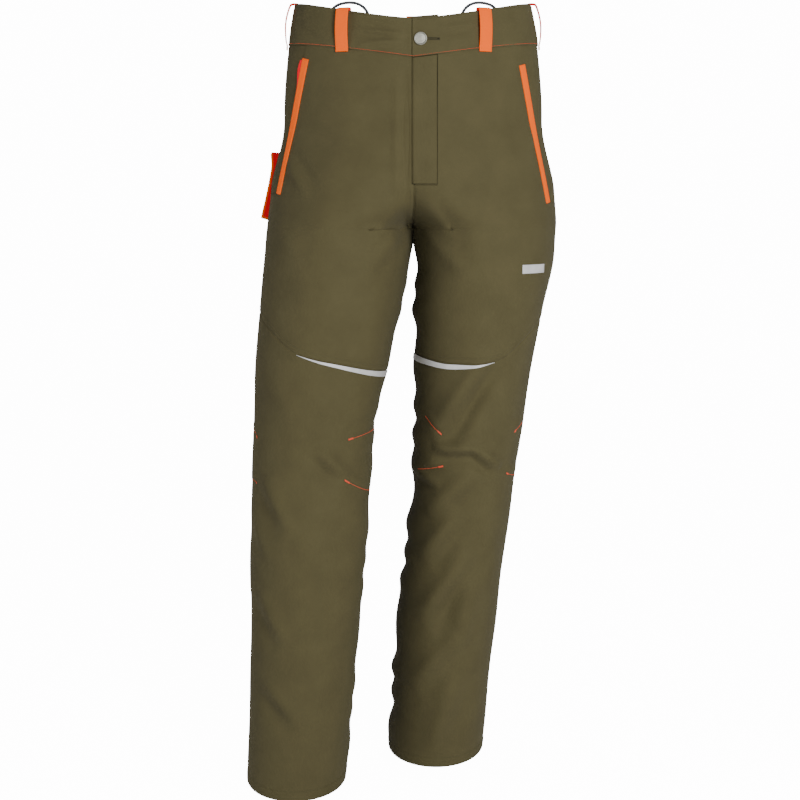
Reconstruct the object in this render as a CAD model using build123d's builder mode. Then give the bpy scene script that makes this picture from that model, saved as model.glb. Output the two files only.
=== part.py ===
from build123d import *
import math
import os

os.makedirs("parts", exist_ok=True)

# Forestry chainsaw protective trousers, worn shape, empty. Millimetres.
# Origin: centre of the waist opening. +Z up, -Y front, +X the wearer's left.
SIDES = {"right": -1, "left": 1}

# Layers, as insets from the outer face of the garment
FABRIC = 1.2
FACING = (1.8, 2.4)
POCKET_BAG = (3.0, 3.6)
CUT_PACK = (4.2, 8.2)
LINING = (8.8, 9.4)
BAND = (-0.6, 1.8)
UNDERLAP = (2.4, 4.0)
PROUD = (-1.1, -0.4)
SEAM_GAP = 0.6

# Girth at each depth below the waist: depth, centre x, half width, half depth, centre y
HIPS = [(0, 0, 161, 104, 4), (55, 0, 171, 110, 5), (155, 0, 179, 125, 12)]
LEGS = {
    "right": [
        (235, -34, 161, 134, 14), (270, -70, 129, 134, 13), (305, -102, 102, 131, 11),
        (343, -105, 102, 127, 8), (425, -117, 99, 116, 0), (510, -130, 92, 106, -6),
        (595, -140, 85, 98, -12), (680, -144, 84, 94, -18), (850, -152, 78, 90, -26),
        (1095, -166, 70, 83, -40),
    ],
    "left": [
        (235, 34, 161, 134, 14), (270, 70, 129, 134, 13), (305, 100, 100, 131, 11),
        (343, 101, 97, 127, 10), (425, 91, 89, 114, 9), (510, 85, 82, 104, 15),
        (595, 78, 77, 97, 22), (680, 72, 73, 93, 30), (850, 52, 72, 88, 42),
        (1095, 33, 70, 83, 60),
    ],
}

# Waistband: its edges slope down from the sides to the front and back
TOP_SIDE, TOP_FRONT, TOP_BACK = 0, -29, -8
SEAM_SIDE, SEAM_FRONT, SEAM_BACK = -56, -80, -66
BAND_REACH = 172

# Joints in the cloth: hips swing at the groin, knees fold at the pre-bent knee
HIP = (5, -375)
KNEE = {"right": (-13, -620), "left": (24, -620)}
HIP_NOTCH_FRONT, HIP_NOTCH_BACK = 15.5, 5.5
KNEE_NOTCH = 31
HEM = {"right": ((-180, -1095), (180, -1070)), "left": ((-180, -1091), (180, -1061))}
THIGH_SEAM = {
    "right": [(-240, -400), (-205, -436), (-157, -472), (-98, -486), (-30, -503)],
    "left": [(-20, -474), (14, -482), (48, -487), (80, -487), (111, -484), (165, -437), (210, -385)],
}

# Fly
FLY_EDGE, FLY_STITCH = -2, 31
FLY_TOP, FLY_FOOT = -80, -245
ZIP_X, ZIP_INSET = 12, 7.4
BUTTON = (9, -56)
TACK_HOLE_R, EYE_R, SLIT_L, SLIT_W = 2.6, 3.4, 25, 2.4

FAR = 400
SIDE_REACH = 180


def prism(points, plane, near=-FAR, far=FAR):
    """A block with a straight-sided outline on the plane, from near to far along its normal."""
    with BuildPart() as block:
        with BuildSketch(plane.offset(near)):
            with BuildLine():
                Polyline(*points, close=True)
            make_face()
        extrude(amount=far - near)
    return block.part


def form(stations, inset):
    """The space inside the garment, drawn in by inset: ellipses joined by ruled walls."""
    with BuildPart() as body:
        for depth, x, half_width, half_depth, y in stations:
            with BuildSketch(Plane((x, y, -depth))):
                Ellipse(half_width - inset, half_depth - inset)
        loft(ruled=True)
    return body.part


def wall(stations, outer, inner):
    """One layer of cloth, between two insets from the outer face."""
    with BuildPart() as layer:
        add(form(stations, outer))
        add(form(stations, inner), mode=Mode.SUBTRACT)
    return layer.part


def piece(name, cloth, *limits):
    """A panel: the cloth kept inside every limit, written as one named solid."""
    with BuildPart() as panel:
        add(cloth)
        for limit in limits:
            add(limit, mode=Mode.INTERSECT)
    finish(name, panel.part)
    return panel.part


def finish(name, part):
    part.label = name
    export_step(part, f"parts/{name}.step")


def half(side, front):
    """Everything in front of, or behind, the side seam and the inseam."""
    seam = [(y, -depth) for depth, x, a, b, y in HIPS + LEGS[side]]
    edge = -SEAM_GAP / 2 if front else SEAM_GAP / 2
    far = -FAR if front else FAR
    line = [(y + edge, z) for y, z in seam]
    top, foot = (line[0][0], 40), (line[-1][0], -1200)
    return prism([(far, 40), top, *line, foot, (far, -1200)], Plane.YZ)


def slope(y_from, z_from, angle, reach):
    """The point reached from (y_from, z_from) over reach in y, rising at angle degrees."""
    return (y_from + reach, z_from + abs(reach) * math.tan(math.radians(angle)))


def zones(side):
    """Side-view regions that belong to the seat, thigh and shin, and the folds between."""
    hy, hz = HIP
    ky, kz = KNEE[side]
    gap = SEAM_GAP / 2
    far = SIDE_REACH
    fold = SEAM_GAP
    front_up, back_up = HIP_NOTCH_FRONT, HIP_NOTCH_BACK
    hip_up = [slope(hy, hz + gap, front_up, -far), (hy, hz + gap), slope(hy, hz + gap, back_up, far)]
    hip_low = [slope(hy, hz - gap, -front_up, -far), (hy, hz - gap), slope(hy, hz - gap, -back_up, far)]
    knee_up = [(-far, kz + gap), (ky, kz + gap), slope(ky, kz + gap, KNEE_NOTCH, far)]
    knee_low = [(-far, kz - gap), (ky, kz - gap), slope(ky, kz - gap, -KNEE_NOTCH, far)]
    hem_front, hem_back = HEM[side]
    return {
        "seat": prism([(-far, 40), *hip_up, (far, 40)], Plane.YZ),
        "thigh": prism([*hip_low, *reversed(knee_up)], Plane.YZ),
        "shin": prism([*knee_low, hem_back, hem_front], Plane.YZ),
        "groin": prism(
            [(hy - 12, hz), slope(hy, hz - fold, front_up, -far), slope(hy, hz + fold, -front_up, -far)],
            Plane.YZ,
        ),
        "hollow": prism(
            [(ky + 12, kz), slope(ky, kz - fold, KNEE_NOTCH, far), slope(ky, kz + fold, -KNEE_NOTCH, far)],
            Plane.YZ,
        ),
    }


def facing_side(side, near=SEAM_GAP / 2):
    """The garment's right or left half."""
    sign = SIDES[side]
    return prism([(sign * near, 60), (sign * FAR, 60), (sign * FAR, -1200), (sign * near, -1200)], Plane.XZ)


def band_line(x, side_z, centre_z):
    """Height of a waistband edge at x, straight from the side to the centre."""
    return centre_z + (side_z - centre_z) * min(abs(x) / BAND_REACH, 1.0)


def band_outline(x_low, x_high, top, foot):
    """Front or back view of the waistband between two x, with edges given as (side z, centre z)."""
    knots = [x_low, *(x for x in (-BAND_REACH, 0, BAND_REACH) if x_low < x < x_high), x_high]
    upper = [(x, band_line(x, *top)) for x in knots]
    lower = [(x, band_line(x, *foot)) for x in reversed(knots)]
    return upper + lower


def girth(rows, z):
    """The ellipse of the garment's face at height z: centre x, half width, half depth, centre y."""
    for upper, lower in zip(rows, rows[1:]):
        if upper[0] <= -z <= lower[0]:
            share = (-z - upper[0]) / (lower[0] - upper[0])
            return [u + (l - u) * share for u, l in zip(upper[1:], lower[1:])]
    return rows[0][1:]


def front_y(x, z, inset=0.0):
    """Where the front of the garment is at x and z, drawn in by inset."""
    cx, a, b, cy = girth(HIPS + LEGS["left" if x > 0 else "right"], z)
    return cy - (b - inset) * math.sqrt(1 - ((x - cx) / (a - inset)) ** 2)


def facing_point(rows, out, z):
    """The point of the garment's face at height z where it faces the way out."""
    cx, a, b, cy = girth(rows, z)
    span = math.hypot(a * out.X, b * out.Y)
    return Vector(cx + a * a * out.X / span, cy + b * b * out.Y / span, z)


def swell(rows, out, z, z_from):
    """How much further out the face is at z than at z_from, along the way out."""
    return (facing_point(rows, out, z) - facing_point(rows, out, z_from)).dot(out)


# ------------------------------------------------------------------ waistband
FRONT_Y = [(-FAR, 60), (4.2, 60), (4.2, -120), (-FAR, -120)]
BACK_Y = [(FAR, 60), (5.8, 60), (5.8, -120), (FAR, -120)]
front_side, back_side = prism(FRONT_Y, Plane.YZ), prism(BACK_Y, Plane.YZ)
band = wall(HIPS, *BAND)
band_top, band_foot = (TOP_SIDE, TOP_FRONT), (SEAM_SIDE, SEAM_FRONT)
hook_x, hook_z = BUTTON
EDGE = 200

with BuildPart() as waistband_front_right:
    add(band)
    add(prism(band_outline(-EDGE, FLY_EDGE - SEAM_GAP, band_top, band_foot), Plane.XZ), mode=Mode.INTERSECT)
    # the underlap runs on behind the left end and carries the button
    add(wall(HIPS, *UNDERLAP) & prism([(-25, -30), (33, -24), (33, -75), (-25, -75)], Plane.XZ))
    add(wall(HIPS, BAND[0], UNDERLAP[1]) & prism([(-25, -34), (-19, -33), (-19, -75), (-25, -75)], Plane.XZ))
    add(front_side, mode=Mode.INTERSECT)
    with BuildSketch(Plane.XZ):
        with Locations(BUTTON):
            Circle(TACK_HOLE_R)
    extrude(amount=FAR, mode=Mode.SUBTRACT)
finish("waistband_front_right", waistband_front_right.part)

with BuildPart() as waistband_front_left:
    add(band)
    add(prism(band_outline(FLY_EDGE, EDGE, band_top, band_foot), Plane.XZ), mode=Mode.INTERSECT)
    add(front_side, mode=Mode.INTERSECT)
    # keyhole buttonhole: a round end for the shank and a slit
    with BuildSketch(Plane.XZ):
        with Locations(BUTTON):
            Circle(EYE_R)
        with Locations((hook_x + SLIT_L / 2, hook_z)):
            Rectangle(SLIT_L, SLIT_W)
    extrude(amount=FAR, mode=Mode.SUBTRACT)
finish("waistband_front_left", waistband_front_left.part)

back_outline = prism(
    band_outline(-EDGE, EDGE, (TOP_SIDE, TOP_BACK), (SEAM_SIDE, SEAM_BACK)), Plane.XZ
)
piece("waistband_back", band, back_side, back_outline)
elastic_outline = prism([(-125, -14), (125, -14), (125, -54), (-125, -54)], Plane.XZ)
piece("back_elastic", wall(HIPS, *UNDERLAP), back_side, elastic_outline)


# ------------------------------------------------------------------ belt loops
LOOP_WIDTH, LOOP_CLOTH = 18, 1.6


def belt_loop(out, front, stand_off):
    """A strap sewn over the top edge of the waistband and below its seam, standing off between."""
    root = facing_point(HIPS, out, 0)
    top_z = band_line(root.X, TOP_SIDE, TOP_FRONT if front else TOP_BACK)
    foot_z = band_line(root.X, SEAM_SIDE, SEAM_FRONT if front else SEAM_BACK) - 4
    place = Plane(origin=root, x_dir=out, z_dir=out.cross(Vector(0, 0, 1)))
    clear = 1.8

    def off(z, extra=0.0):
        return (swell(HIPS, out, z, 0) + clear + extra, z)

    edge, middle = top_z + 2.6, top_z - 22
    with BuildPart() as strap:
        with BuildSketch(place):
            with BuildLine():
                FilletPolyline(
                    (off(top_z)[0] - 5.6, top_z - 3), (off(top_z)[0] - 5.6, edge),
                    (off(edge, 0.7 * stand_off)[0], edge), off(middle, stand_off), off(foot_z + 7), off(foot_z),
                    radius=1.5,
                )
                offset(amount=LOOP_CLOTH / 2)
            make_face()
        extrude(amount=LOOP_WIDTH / 2, both=True)
    return strap.part


def bearing(degrees):
    """The horizontal direction that is degrees round from straight ahead, towards the wearer's left."""
    turn = math.radians(degrees)
    return Vector(math.sin(turn), -math.cos(turn), 0)


finish("belt_loop_front_right", belt_loop(bearing(-24), True, 5))
finish("belt_loop_front_left", belt_loop(bearing(24), True, 5))
LOOPS = {"belt_loops_side": (True, (-88, 88)), "belt_loops_back": (False, (-157, 180, 157))}
for name, (front, bearings) in LOOPS.items():
    with BuildPart() as loops:
        for degrees in bearings:
            add(belt_loop(bearing(degrees), front, 8 if front else 5))
    finish(name, loops.part)

# ------------------------------------------------------------------ button
CAP_R, STEM_R = 8.5, 2.25
band_y = front_y(hook_x, hook_z, BAND[0])
CAP_LIFT, CAP_T, RIM_W, RIM_H = 1.5, 1.8, 1.6, 0.7
SOCKET_PLAY, SOCKET_DEPTH = 0.05, 1.0
with BuildPart() as button_cap:
    with BuildSketch(Plane.XZ.offset(-band_y + CAP_LIFT)):
        with Locations(BUTTON):
            Circle(CAP_R)
    extrude(amount=CAP_T)
    with BuildSketch(Plane.XZ.offset(-band_y + CAP_LIFT + CAP_T)):
        with Locations(BUTTON):
            Circle(CAP_R)
            Circle(CAP_R - RIM_W, mode=Mode.SUBTRACT)
    extrude(amount=RIM_H)
    # socket that turns on the tack's stem
    with BuildSketch(Plane.XZ.offset(-band_y + CAP_LIFT)):
        with Locations(BUTTON):
            Circle(STEM_R + SOCKET_PLAY)
    extrude(amount=SOCKET_DEPTH, mode=Mode.SUBTRACT)
finish("button_cap", button_cap.part)

TACK_DEPTH, TACK_T, TACK_R, STEM_END = 7.0, 0.9, 5.5, 0.8
with BuildPart() as button_tack:
    with BuildSketch(Plane.XZ.offset(-band_y - TACK_DEPTH)):
        with Locations(BUTTON):
            Circle(TACK_R)
    extrude(amount=TACK_T)
    with BuildSketch(Plane.XZ.offset(-band_y - TACK_DEPTH + TACK_T)):
        with Locations(BUTTON):
            Circle(STEM_R)
    extrude(amount=TACK_DEPTH - TACK_T + CAP_LIFT + STEM_END)
finish("button_tack", button_tack.part)

# ------------------------------------------------------------------ panels
POCKET = {
    "right": [(-148, -77), (-186, -257)],
    "left": [(149, -85), (186, -269)],
}
SLOT = 2.4
WIDE, NARROW = 8, 5
bags, facings, linings = {}, {}, {}

for side, sign in SIDES.items():
    rows = HIPS + LEGS[side]
    zone = zones(side)
    front, back, own = half(side, True), half(side, False), facing_side(side)
    fabric = wall(rows, 0, FABRIC)
    pack = wall(rows, *CUT_PACK)
    lining = wall(rows, *LINING)
    (px_top, pz_top), (px_foot, pz_foot) = POCKET[side]

    # hip front: from the fly to the pocket edge, and on to the side seam below the pocket
    fly_x = FLY_STITCH if side == "left" else FLY_EDGE - SEAM_GAP
    seam_z, fly_z = (band_line(x, SEAM_SIDE, SEAM_FRONT) - SEAM_GAP for x in (px_top, fly_x))
    corner = (sign * BAND_REACH, SEAM_SIDE - SEAM_GAP)
    hip_outline = prism(
        [(fly_x, fly_z), (px_top, seam_z), (px_foot, pz_foot),
         (sign * 240, pz_foot - 4), (sign * 240, -FAR), (sign * 0.3, -FAR),
         (sign * 0.3, FLY_FOOT), (fly_x, FLY_FOOT)],
        Plane.XZ,
    )
    piece(f"hip_front_{side}", fabric, zone["seat"] & front & hip_outline)

    # hip side: the panel outboard of the pocket mouth, which the pocket facing is sewn to
    side_outline = prism(
        [(px_top + sign * SLOT, seam_z), corner, (sign * 240, corner[1]), (sign * 240, pz_foot - 4 + SEAM_GAP),
         (px_foot + sign * SLOT, pz_foot + SEAM_GAP)],
        Plane.XZ,
    )
    piece(f"hip_side_{side}", fabric, zone["seat"] & front & side_outline)

    back_seat = prism(
        [(sign * 0.3, SEAM_BACK - SEAM_GAP), corner, (sign * 240, corner[1]), (sign * 240, -FAR - 60),
         (sign * 0.3, -FAR - 60)],
        Plane.XZ,
    )
    piece(f"seat_back_{side}", fabric, zone["seat"] & back & back_seat)

    # leg panels
    seam = THIGH_SEAM[side]
    above = [(x, z + SEAM_GAP / 2) for x, z in seam]
    below = [(x, z - SEAM_GAP / 2) for x, z in seam]
    over = prism([*above, (seam[-1][0], -300), (seam[0][0], -300)], Plane.XZ)
    under = prism([*below, (seam[-1][0], -700), (seam[0][0], -700)], Plane.XZ)
    piece(f"thigh_front_{side}", fabric, zone["thigh"] & front & over)
    piece(f"knee_panel_{side}", fabric, zone["thigh"] & front & under)
    piece(f"thigh_back_{side}", fabric, zone["thigh"] & back)
    piece(f"shin_panel_{side}", fabric, zone["shin"] & front)
    piece(f"calf_back_{side}", fabric, zone["shin"] & back)
    piece(f"groin_fold_{side}", fabric, zone["groin"] & own)
    piece(f"knee_hollow_{side}", fabric, zone["hollow"])

    # cut protection on the front of the legs, clear of the fly, and the lining
    pack_edge = prism(
        [(sign * 40, -105), (sign * FAR, -105), (sign * FAR, -1045), (sign * -FAR, -1045),
         (sign * -FAR, -345), (sign * 2, -345), (sign * 2, -262), (sign * 40, -262)],
        Plane.XZ,
    )
    piece(f"cut_pack_hip_{side}", pack, zone["seat"] & front & own & pack_edge)
    piece(f"cut_pack_thigh_{side}", pack, zone["thigh"] & front)
    piece(f"cut_pack_shin_{side}", pack, zone["shin"] & front & pack_edge)
    lining_edge = prism(
        [(sign * 40, -60), (sign * FAR, -60), (sign * FAR, -FAR), (sign * 2, -FAR), (sign * 2, -262), (sign * 40, -262)],
        Plane.XZ,
    )
    linings[side] = lining & zone["seat"] & own & lining_edge
    piece(f"lining_thigh_{side}", lining, zone["thigh"])
    piece(f"lining_shin_{side}", lining, zone["shin"])

    # pocket: bound edge, red facing behind the mouth, and the bag inside
    rim = wall(rows, *PROUD)
    binding_outline = prism(
        [(px_top - sign * WIDE, pz_top), (px_top, pz_top), (px_foot, pz_foot), (px_foot - sign * NARROW, pz_foot)],
        Plane.XZ,
    )
    piece(f"pocket_binding_{side}", rim, front & binding_outline)
    facings[side] = wall(rows, *FACING) & front & prism(
        [(px_top - sign * 10, pz_top - 6), (px_top + sign * 14, pz_top - 6),
         (px_foot + sign * 8, pz_foot + 4), (px_foot - sign * 10, pz_foot + 4)],
        Plane.XZ,
    )
    bags[side] = wall(rows, *POCKET_BAG) & front & prism(
        [(sign * 70, -96), (sign * FAR, -96), (sign * FAR, -290), (sign * 95, -300), (sign * 70, -270)], Plane.XZ
    )

for name, parts in {"lining_hip": linings, "pocket_facings": facings, "pocket_bags": bags}.items():
    with BuildPart() as pair:
        for side in SIDES:
            add(parts[side])
    finish(name, pair.part)

# ------------------------------------------------------------------ reflective strips and thigh patch
STRIPS = {
    "right": [(-157, -472.6), (-98, -486.8), (-20, -505.6), (-20, -517), (-98, -492)],
    "left": [(-20, -475), (14, -482.8), (48, -487.8), (80, -487.8), (111, -484.8), (80, -492), (48, -497), (14, -494)],
}
for side in SIDES:
    strip_cloth = wall(HIPS + LEGS[side], -0.9, -0.3)
    limits = half(side, True) & prism(STRIPS[side], Plane.XZ)
    piece(f"reflective_strip_{side}", strip_cloth, limits)
patch_outline = prism([(146, -352), (178, -352), (178, -364), (146, -364)], Plane.XZ)
patch_cloth = wall(HIPS + LEGS["left"], -0.9, -0.3)
piece("thigh_patch", patch_cloth, half("left", True) & patch_outline)

# ------------------------------------------------------------------ fly
placket_outline = prism(
    [(FLY_EDGE, FLY_TOP - SEAM_GAP - 0.2), (FLY_STITCH - SEAM_GAP, FLY_TOP + 3.6),
     (FLY_STITCH - SEAM_GAP, FLY_FOOT + SEAM_GAP), (FLY_EDGE, FLY_FOOT + SEAM_GAP)],
    Plane.XZ,
)
piece("fly_placket", wall(HIPS + LEGS["left"], 0, FABRIC), half("left", True) & placket_outline)

# the zip lies on a straight, leaning plane behind the placket
ZIP_TOP, ZIP_FOOT = -84, -235
TRACK_TOP, TRACK_FOOT = -90, -228
top_y, foot_y = front_y(ZIP_X, ZIP_TOP), front_y(ZIP_X, ZIP_FOOT)
down = Vector(0, foot_y - top_y, ZIP_FOOT - ZIP_TOP).normalized()
out = Vector(1, 0, 0).cross(down * -1)
zip_plane = Plane(origin=Vector(ZIP_X, top_y, ZIP_TOP) - out * ZIP_INSET, x_dir=(1, 0, 0), z_dir=out)
TRACK = TRACK_TOP - TRACK_FOOT
start = ZIP_TOP - TRACK_TOP
COIL_W, COIL_T, COIL_GAP = 2.4, 1.8, 1.6
TAPE_W, TAPE_T = 11, 0.6

with BuildPart() as zip_coils:
    for sign in (-1, 1):
        with BuildSketch(zip_plane.offset(-COIL_T / 2)):
            with Locations((sign * (COIL_GAP + COIL_W) / 2, -start - TRACK / 2)):
                Rectangle(COIL_W, TRACK)
        extrude(amount=COIL_T)
finish("zip_coils", zip_coils.part)

with BuildPart() as zip_tapes:
    for sign in (-1, 1):
        with BuildSketch(zip_plane.offset(-TAPE_T / 2)):
            with Locations((sign * (COIL_GAP / 2 + COIL_W + 0.2 + TAPE_W / 2), -start - TRACK / 2)):
                Rectangle(TAPE_W, TRACK + 12)
        extrude(amount=TAPE_T)
finish("zip_tapes", zip_tapes.part)

with BuildPart() as zip_stops:
    with BuildSketch(zip_plane.offset(-1.2)):
        with Locations((0, -start - TRACK - 3)):
            Rectangle(6, 5)
        for sign in (-1, 1):
            with Locations((sign * (COIL_GAP + COIL_W) / 2, -start + 2)):
                Rectangle(2.2, 3)
    extrude(amount=2.4)
finish("zip_stops", zip_stops.part)

SHIELD_DROP = 2.8
with BuildPart() as fly_shield:
    with BuildSketch(zip_plane.offset(-SHIELD_DROP - 0.8)):
        with Locations((-3, -start - TRACK / 2)):
            Rectangle(42, TRACK + 14)
    extrude(amount=0.8)
finish("fly_shield", fly_shield.part)

# slider: two plates held apart by a post between the coils, with a bridge for the pull
SLIDER_W, SLIDER_L, PLATE_T, MOUTH = 9, 12, 0.7, 2.3
slider_y = -start - 8
PIN_R, EYE_GAP = 0.6, 0.15
pin_rise = MOUTH / 2 + PLATE_T + 1.6
with BuildPart() as zip_slider:
    for level in (-MOUTH / 2 - PLATE_T, MOUTH / 2):
        with BuildSketch(zip_plane.offset(level)):
            with Locations((0, slider_y)):
                Rectangle(SLIDER_W, SLIDER_L)
        extrude(amount=PLATE_T)
    with BuildSketch(zip_plane.offset(-MOUTH / 2 - PLATE_T)):
        with Locations((0, slider_y + SLIDER_L / 2 - 2.5)):
            Rectangle(1.0, 4)
    extrude(amount=MOUTH + 2 * PLATE_T)
    with BuildSketch(zip_plane.offset(MOUTH / 2 + PLATE_T)):
        for sign in (-1, 1):
            with Locations((sign * 2.6, slider_y)):
                Rectangle(1.0, 3)
    extrude(amount=2.2)
    with BuildSketch(Plane(
        origin=zip_plane.from_local_coords((-3.1, slider_y, pin_rise)), x_dir=zip_plane.y_dir, z_dir=(1, 0, 0)
    )):
        Circle(PIN_R)
    extrude(amount=6.2)
finish("zip_slider", zip_slider.part)

PULL_L, PULL_T = 24, 0.9
with BuildPart() as zip_pull:
    with BuildSketch(zip_plane.offset(pin_rise - PULL_T / 2)):
        with Locations((0, slider_y - PULL_L / 2 + 1)):
            RectangleRounded(3.6, PULL_L, 1.0)
        with Locations((0, slider_y - PULL_L + 7)):
            RectangleRounded(5.4, 12, 1.6)
    extrude(amount=PULL_T)
    with BuildSketch(Plane(
        origin=zip_plane.from_local_coords((-1.8, slider_y, pin_rise)), x_dir=zip_plane.y_dir, z_dir=(1, 0, 0)
    )):
        Circle(PIN_R + 0.75)
    extrude(amount=3.6)
    with BuildSketch(Plane(
        origin=zip_plane.from_local_coords((-4, slider_y, pin_rise)), x_dir=zip_plane.y_dir, z_dir=(1, 0, 0)
    )):
        Circle(PIN_R + EYE_GAP)
    extrude(amount=8, mode=Mode.SUBTRACT)
finish("zip_pull", zip_pull.part)

# ------------------------------------------------------------------ rear hip pocket and its flap
FLAP_W, FLAP_H, FLAP_T = 70, 102, 1.6
FLAP_TOP, FLAP_LEAN, FLAP_LIFT = -200, 11.2, 4.4
rear_rows = HIPS + LEGS["right"]
flap_out = bearing(-112)
flap_side = Vector(0, 0, 1).cross(flap_out)
pocket_top = facing_point(rear_rows, flap_out, FLAP_TOP)

pocket_face = Plane(origin=pocket_top - flap_out * 60, x_dir=flap_side, z_dir=flap_out)
with BuildPart() as rear_patch:
    with BuildSketch(pocket_face):
        with Locations((0, -62)):
            RectangleRounded(86, 128, 8)
    extrude(amount=140)
piece("hip_pocket", wall(rear_rows, -1.8, -0.5), rear_patch.part, half("right", False))

flap_down = (Vector(0, 0, -1) + flap_out * math.tan(math.radians(FLAP_LEAN))).normalized()
flap_hinge = pocket_top + flap_out * FLAP_LIFT
flap_face = Plane(origin=flap_hinge, x_dir=flap_side, z_dir=flap_side.cross(flap_down * -1))
with BuildPart() as hip_pocket_flap:
    with BuildSketch(flap_face):
        with BuildLine():
            Polyline(
                (-FLAP_W / 2, 0), (FLAP_W / 2, 0), (FLAP_W / 2, -FLAP_H + 9), (-FLAP_W / 2, -FLAP_H), close=True
            )
        make_face()
    extrude(amount=FLAP_T)
finish("hip_pocket_flap", hip_pocket_flap.part)

# ------------------------------------------------------------------ brace loops
CORD = 4
BRACE = {
    "right": (Vector(-115, -66, 0), Vector(-54, -89.5, 0)),
    "left": (Vector(116, -66, 0), Vector(58, -88.5, 0)),
}
ARCH = [(0, -50), (1, -30), (8, -11), (28, -6), (46, -8.5), (58, -19), (61, -34), (61.5, -50)]


def bend_radii(points):
    """0.45 of the shorter run at each corner, over the tangent of half the turn."""
    radii = []
    for before, here, after in zip(points, points[1:], points[2:]):
        one, two = here - before, after - here
        turn = math.radians(one.get_angle(two))
        radii.append(round(0.45 * min(one.length, two.length) / math.tan(turn / 2), 2))
    return radii


for side, (start_at, end_at) in BRACE.items():
    chord = end_at - start_at
    along = chord.normalized()
    scale = chord.length / 65
    route = [start_at + along * (u * scale) + Vector(0, 0, z) for u, z in ARCH]
    radii = bend_radii(route)
    print(side, "brace loop radii", radii)
    with BuildPart() as loop:
        with BuildLine() as path:
            FilletPolyline(*route, radius=radii)
        with BuildSketch(Plane(origin=route[0], z_dir=route[1] - route[0])):
            Circle(CORD / 2)
        sweep()
    length = sum(edge.length for edge in path.edges())
    ratio = loop.part.volume / (length * math.pi * CORD**2 / 4)
    print(side, "brace loop length", round(length, 1), "volume over section times length", round(ratio, 4))
    finish(f"brace_loop_{side}", loop.part)

# ------------------------------------------------------------------ joint axes, printed for the record
stitch = [Vector(FLY_STITCH, front_y(FLY_STITCH, z) - 1.3, z) for z in (FLY_FOOT, FLY_TOP)]
print("fly hinge", stitch[0], (stitch[1] - stitch[0]).normalized())
print("zip slide", down)
print("pull hinge", zip_plane.from_local_coords((0, slider_y, pin_rise)))
print("button", (hook_x, band_y, hook_z))
print("flap hinge", flap_hinge, flap_side)
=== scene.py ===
import bpy
import numpy as np
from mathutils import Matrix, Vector


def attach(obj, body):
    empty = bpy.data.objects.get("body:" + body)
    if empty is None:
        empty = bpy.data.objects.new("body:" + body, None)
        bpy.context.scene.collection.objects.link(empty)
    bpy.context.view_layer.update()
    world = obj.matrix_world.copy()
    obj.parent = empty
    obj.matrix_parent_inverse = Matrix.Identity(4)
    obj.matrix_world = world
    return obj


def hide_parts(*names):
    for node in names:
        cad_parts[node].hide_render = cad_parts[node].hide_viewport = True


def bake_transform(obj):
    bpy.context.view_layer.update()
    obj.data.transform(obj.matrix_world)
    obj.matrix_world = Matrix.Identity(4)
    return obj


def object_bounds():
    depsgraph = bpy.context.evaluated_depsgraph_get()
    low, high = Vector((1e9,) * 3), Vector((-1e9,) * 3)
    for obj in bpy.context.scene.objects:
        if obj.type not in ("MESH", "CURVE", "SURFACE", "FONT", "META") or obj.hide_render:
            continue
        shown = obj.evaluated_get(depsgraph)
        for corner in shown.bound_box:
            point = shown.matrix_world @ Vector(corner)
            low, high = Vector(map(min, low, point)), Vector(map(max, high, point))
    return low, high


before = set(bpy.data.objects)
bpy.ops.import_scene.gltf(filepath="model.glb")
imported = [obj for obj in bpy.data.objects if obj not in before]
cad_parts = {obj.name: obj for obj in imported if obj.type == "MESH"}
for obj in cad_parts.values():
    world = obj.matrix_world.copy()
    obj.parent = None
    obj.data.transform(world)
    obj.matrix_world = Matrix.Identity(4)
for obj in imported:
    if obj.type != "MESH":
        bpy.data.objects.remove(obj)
cad_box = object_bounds()


# ---------------------------------------------------------------- studio
# A pale seamless sweep that the camera sees as white, a soft key light in front
# and to the right, a weak fill from the left, and a long lens at hip height.
def sweep_surface(floor_z):
    """Floor and backdrop in one: flat from the front, then a quarter circle up into a straight wall."""
    across = np.linspace(-9.0, 9.0, 7)
    turn = np.linspace(0.0, np.pi / 2, 16)
    radius, bend_y = 1.6, 2.4
    y = np.concatenate([[-9.0], bend_y + radius * np.sin(turn), [bend_y + radius]])
    z = np.concatenate([[floor_z], floor_z + radius * (1 - np.cos(turn)), [floor_z + 7.0]])
    grid_x, grid_y = np.meshgrid(across, y)
    grid_z = np.repeat(z[:, None], len(across), 1)
    points = np.stack([grid_x, grid_y, grid_z], -1).reshape(-1, 3)
    row, column = np.meshgrid(np.arange(len(y) - 1), np.arange(len(across) - 1), indexing="ij")
    corner = (row * len(across) + column).ravel()
    faces = np.stack([corner, corner + 1, corner + len(across) + 1, corner + len(across)], 1)
    mesh = bpy.data.meshes.new("studio_sweep")
    mesh.from_pydata(points.tolist(), [], faces.tolist())
    mesh.shade_smooth()
    return mesh


FLOOR_DROP = 0.001
sweep = bpy.data.objects.new("studio_sweep", sweep_surface(cad_box[0][2] - FLOOR_DROP))
bpy.context.collection.objects.link(sweep)
sweep_finish = bpy.data.materials.new("studio_white")
sweep_finish.use_nodes = True
sweep_shader = sweep_finish.node_tree.nodes["Principled BSDF"]
sweep_shader.inputs["Base Color"].default_value = (0.8, 0.8, 0.8, 1)
sweep_shader.inputs["Roughness"].default_value = 0.9
sweep_shader.inputs["Emission Color"].default_value = (1, 1, 1, 1)
seen_directly = sweep_finish.node_tree.nodes.new("ShaderNodeLightPath")
backdrop_glow = sweep_finish.node_tree.nodes.new("ShaderNodeMapRange")
backdrop_glow.inputs["To Min"].default_value, backdrop_glow.inputs["To Max"].default_value = 0.1, 14.0
sweep_finish.node_tree.links.new(seen_directly.outputs["Is Camera Ray"], backdrop_glow.inputs["Value"])
sweep_finish.node_tree.links.new(backdrop_glow.outputs["Result"], sweep_shader.inputs["Emission Strength"])
sweep.data.materials.append(sweep_finish)

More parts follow.
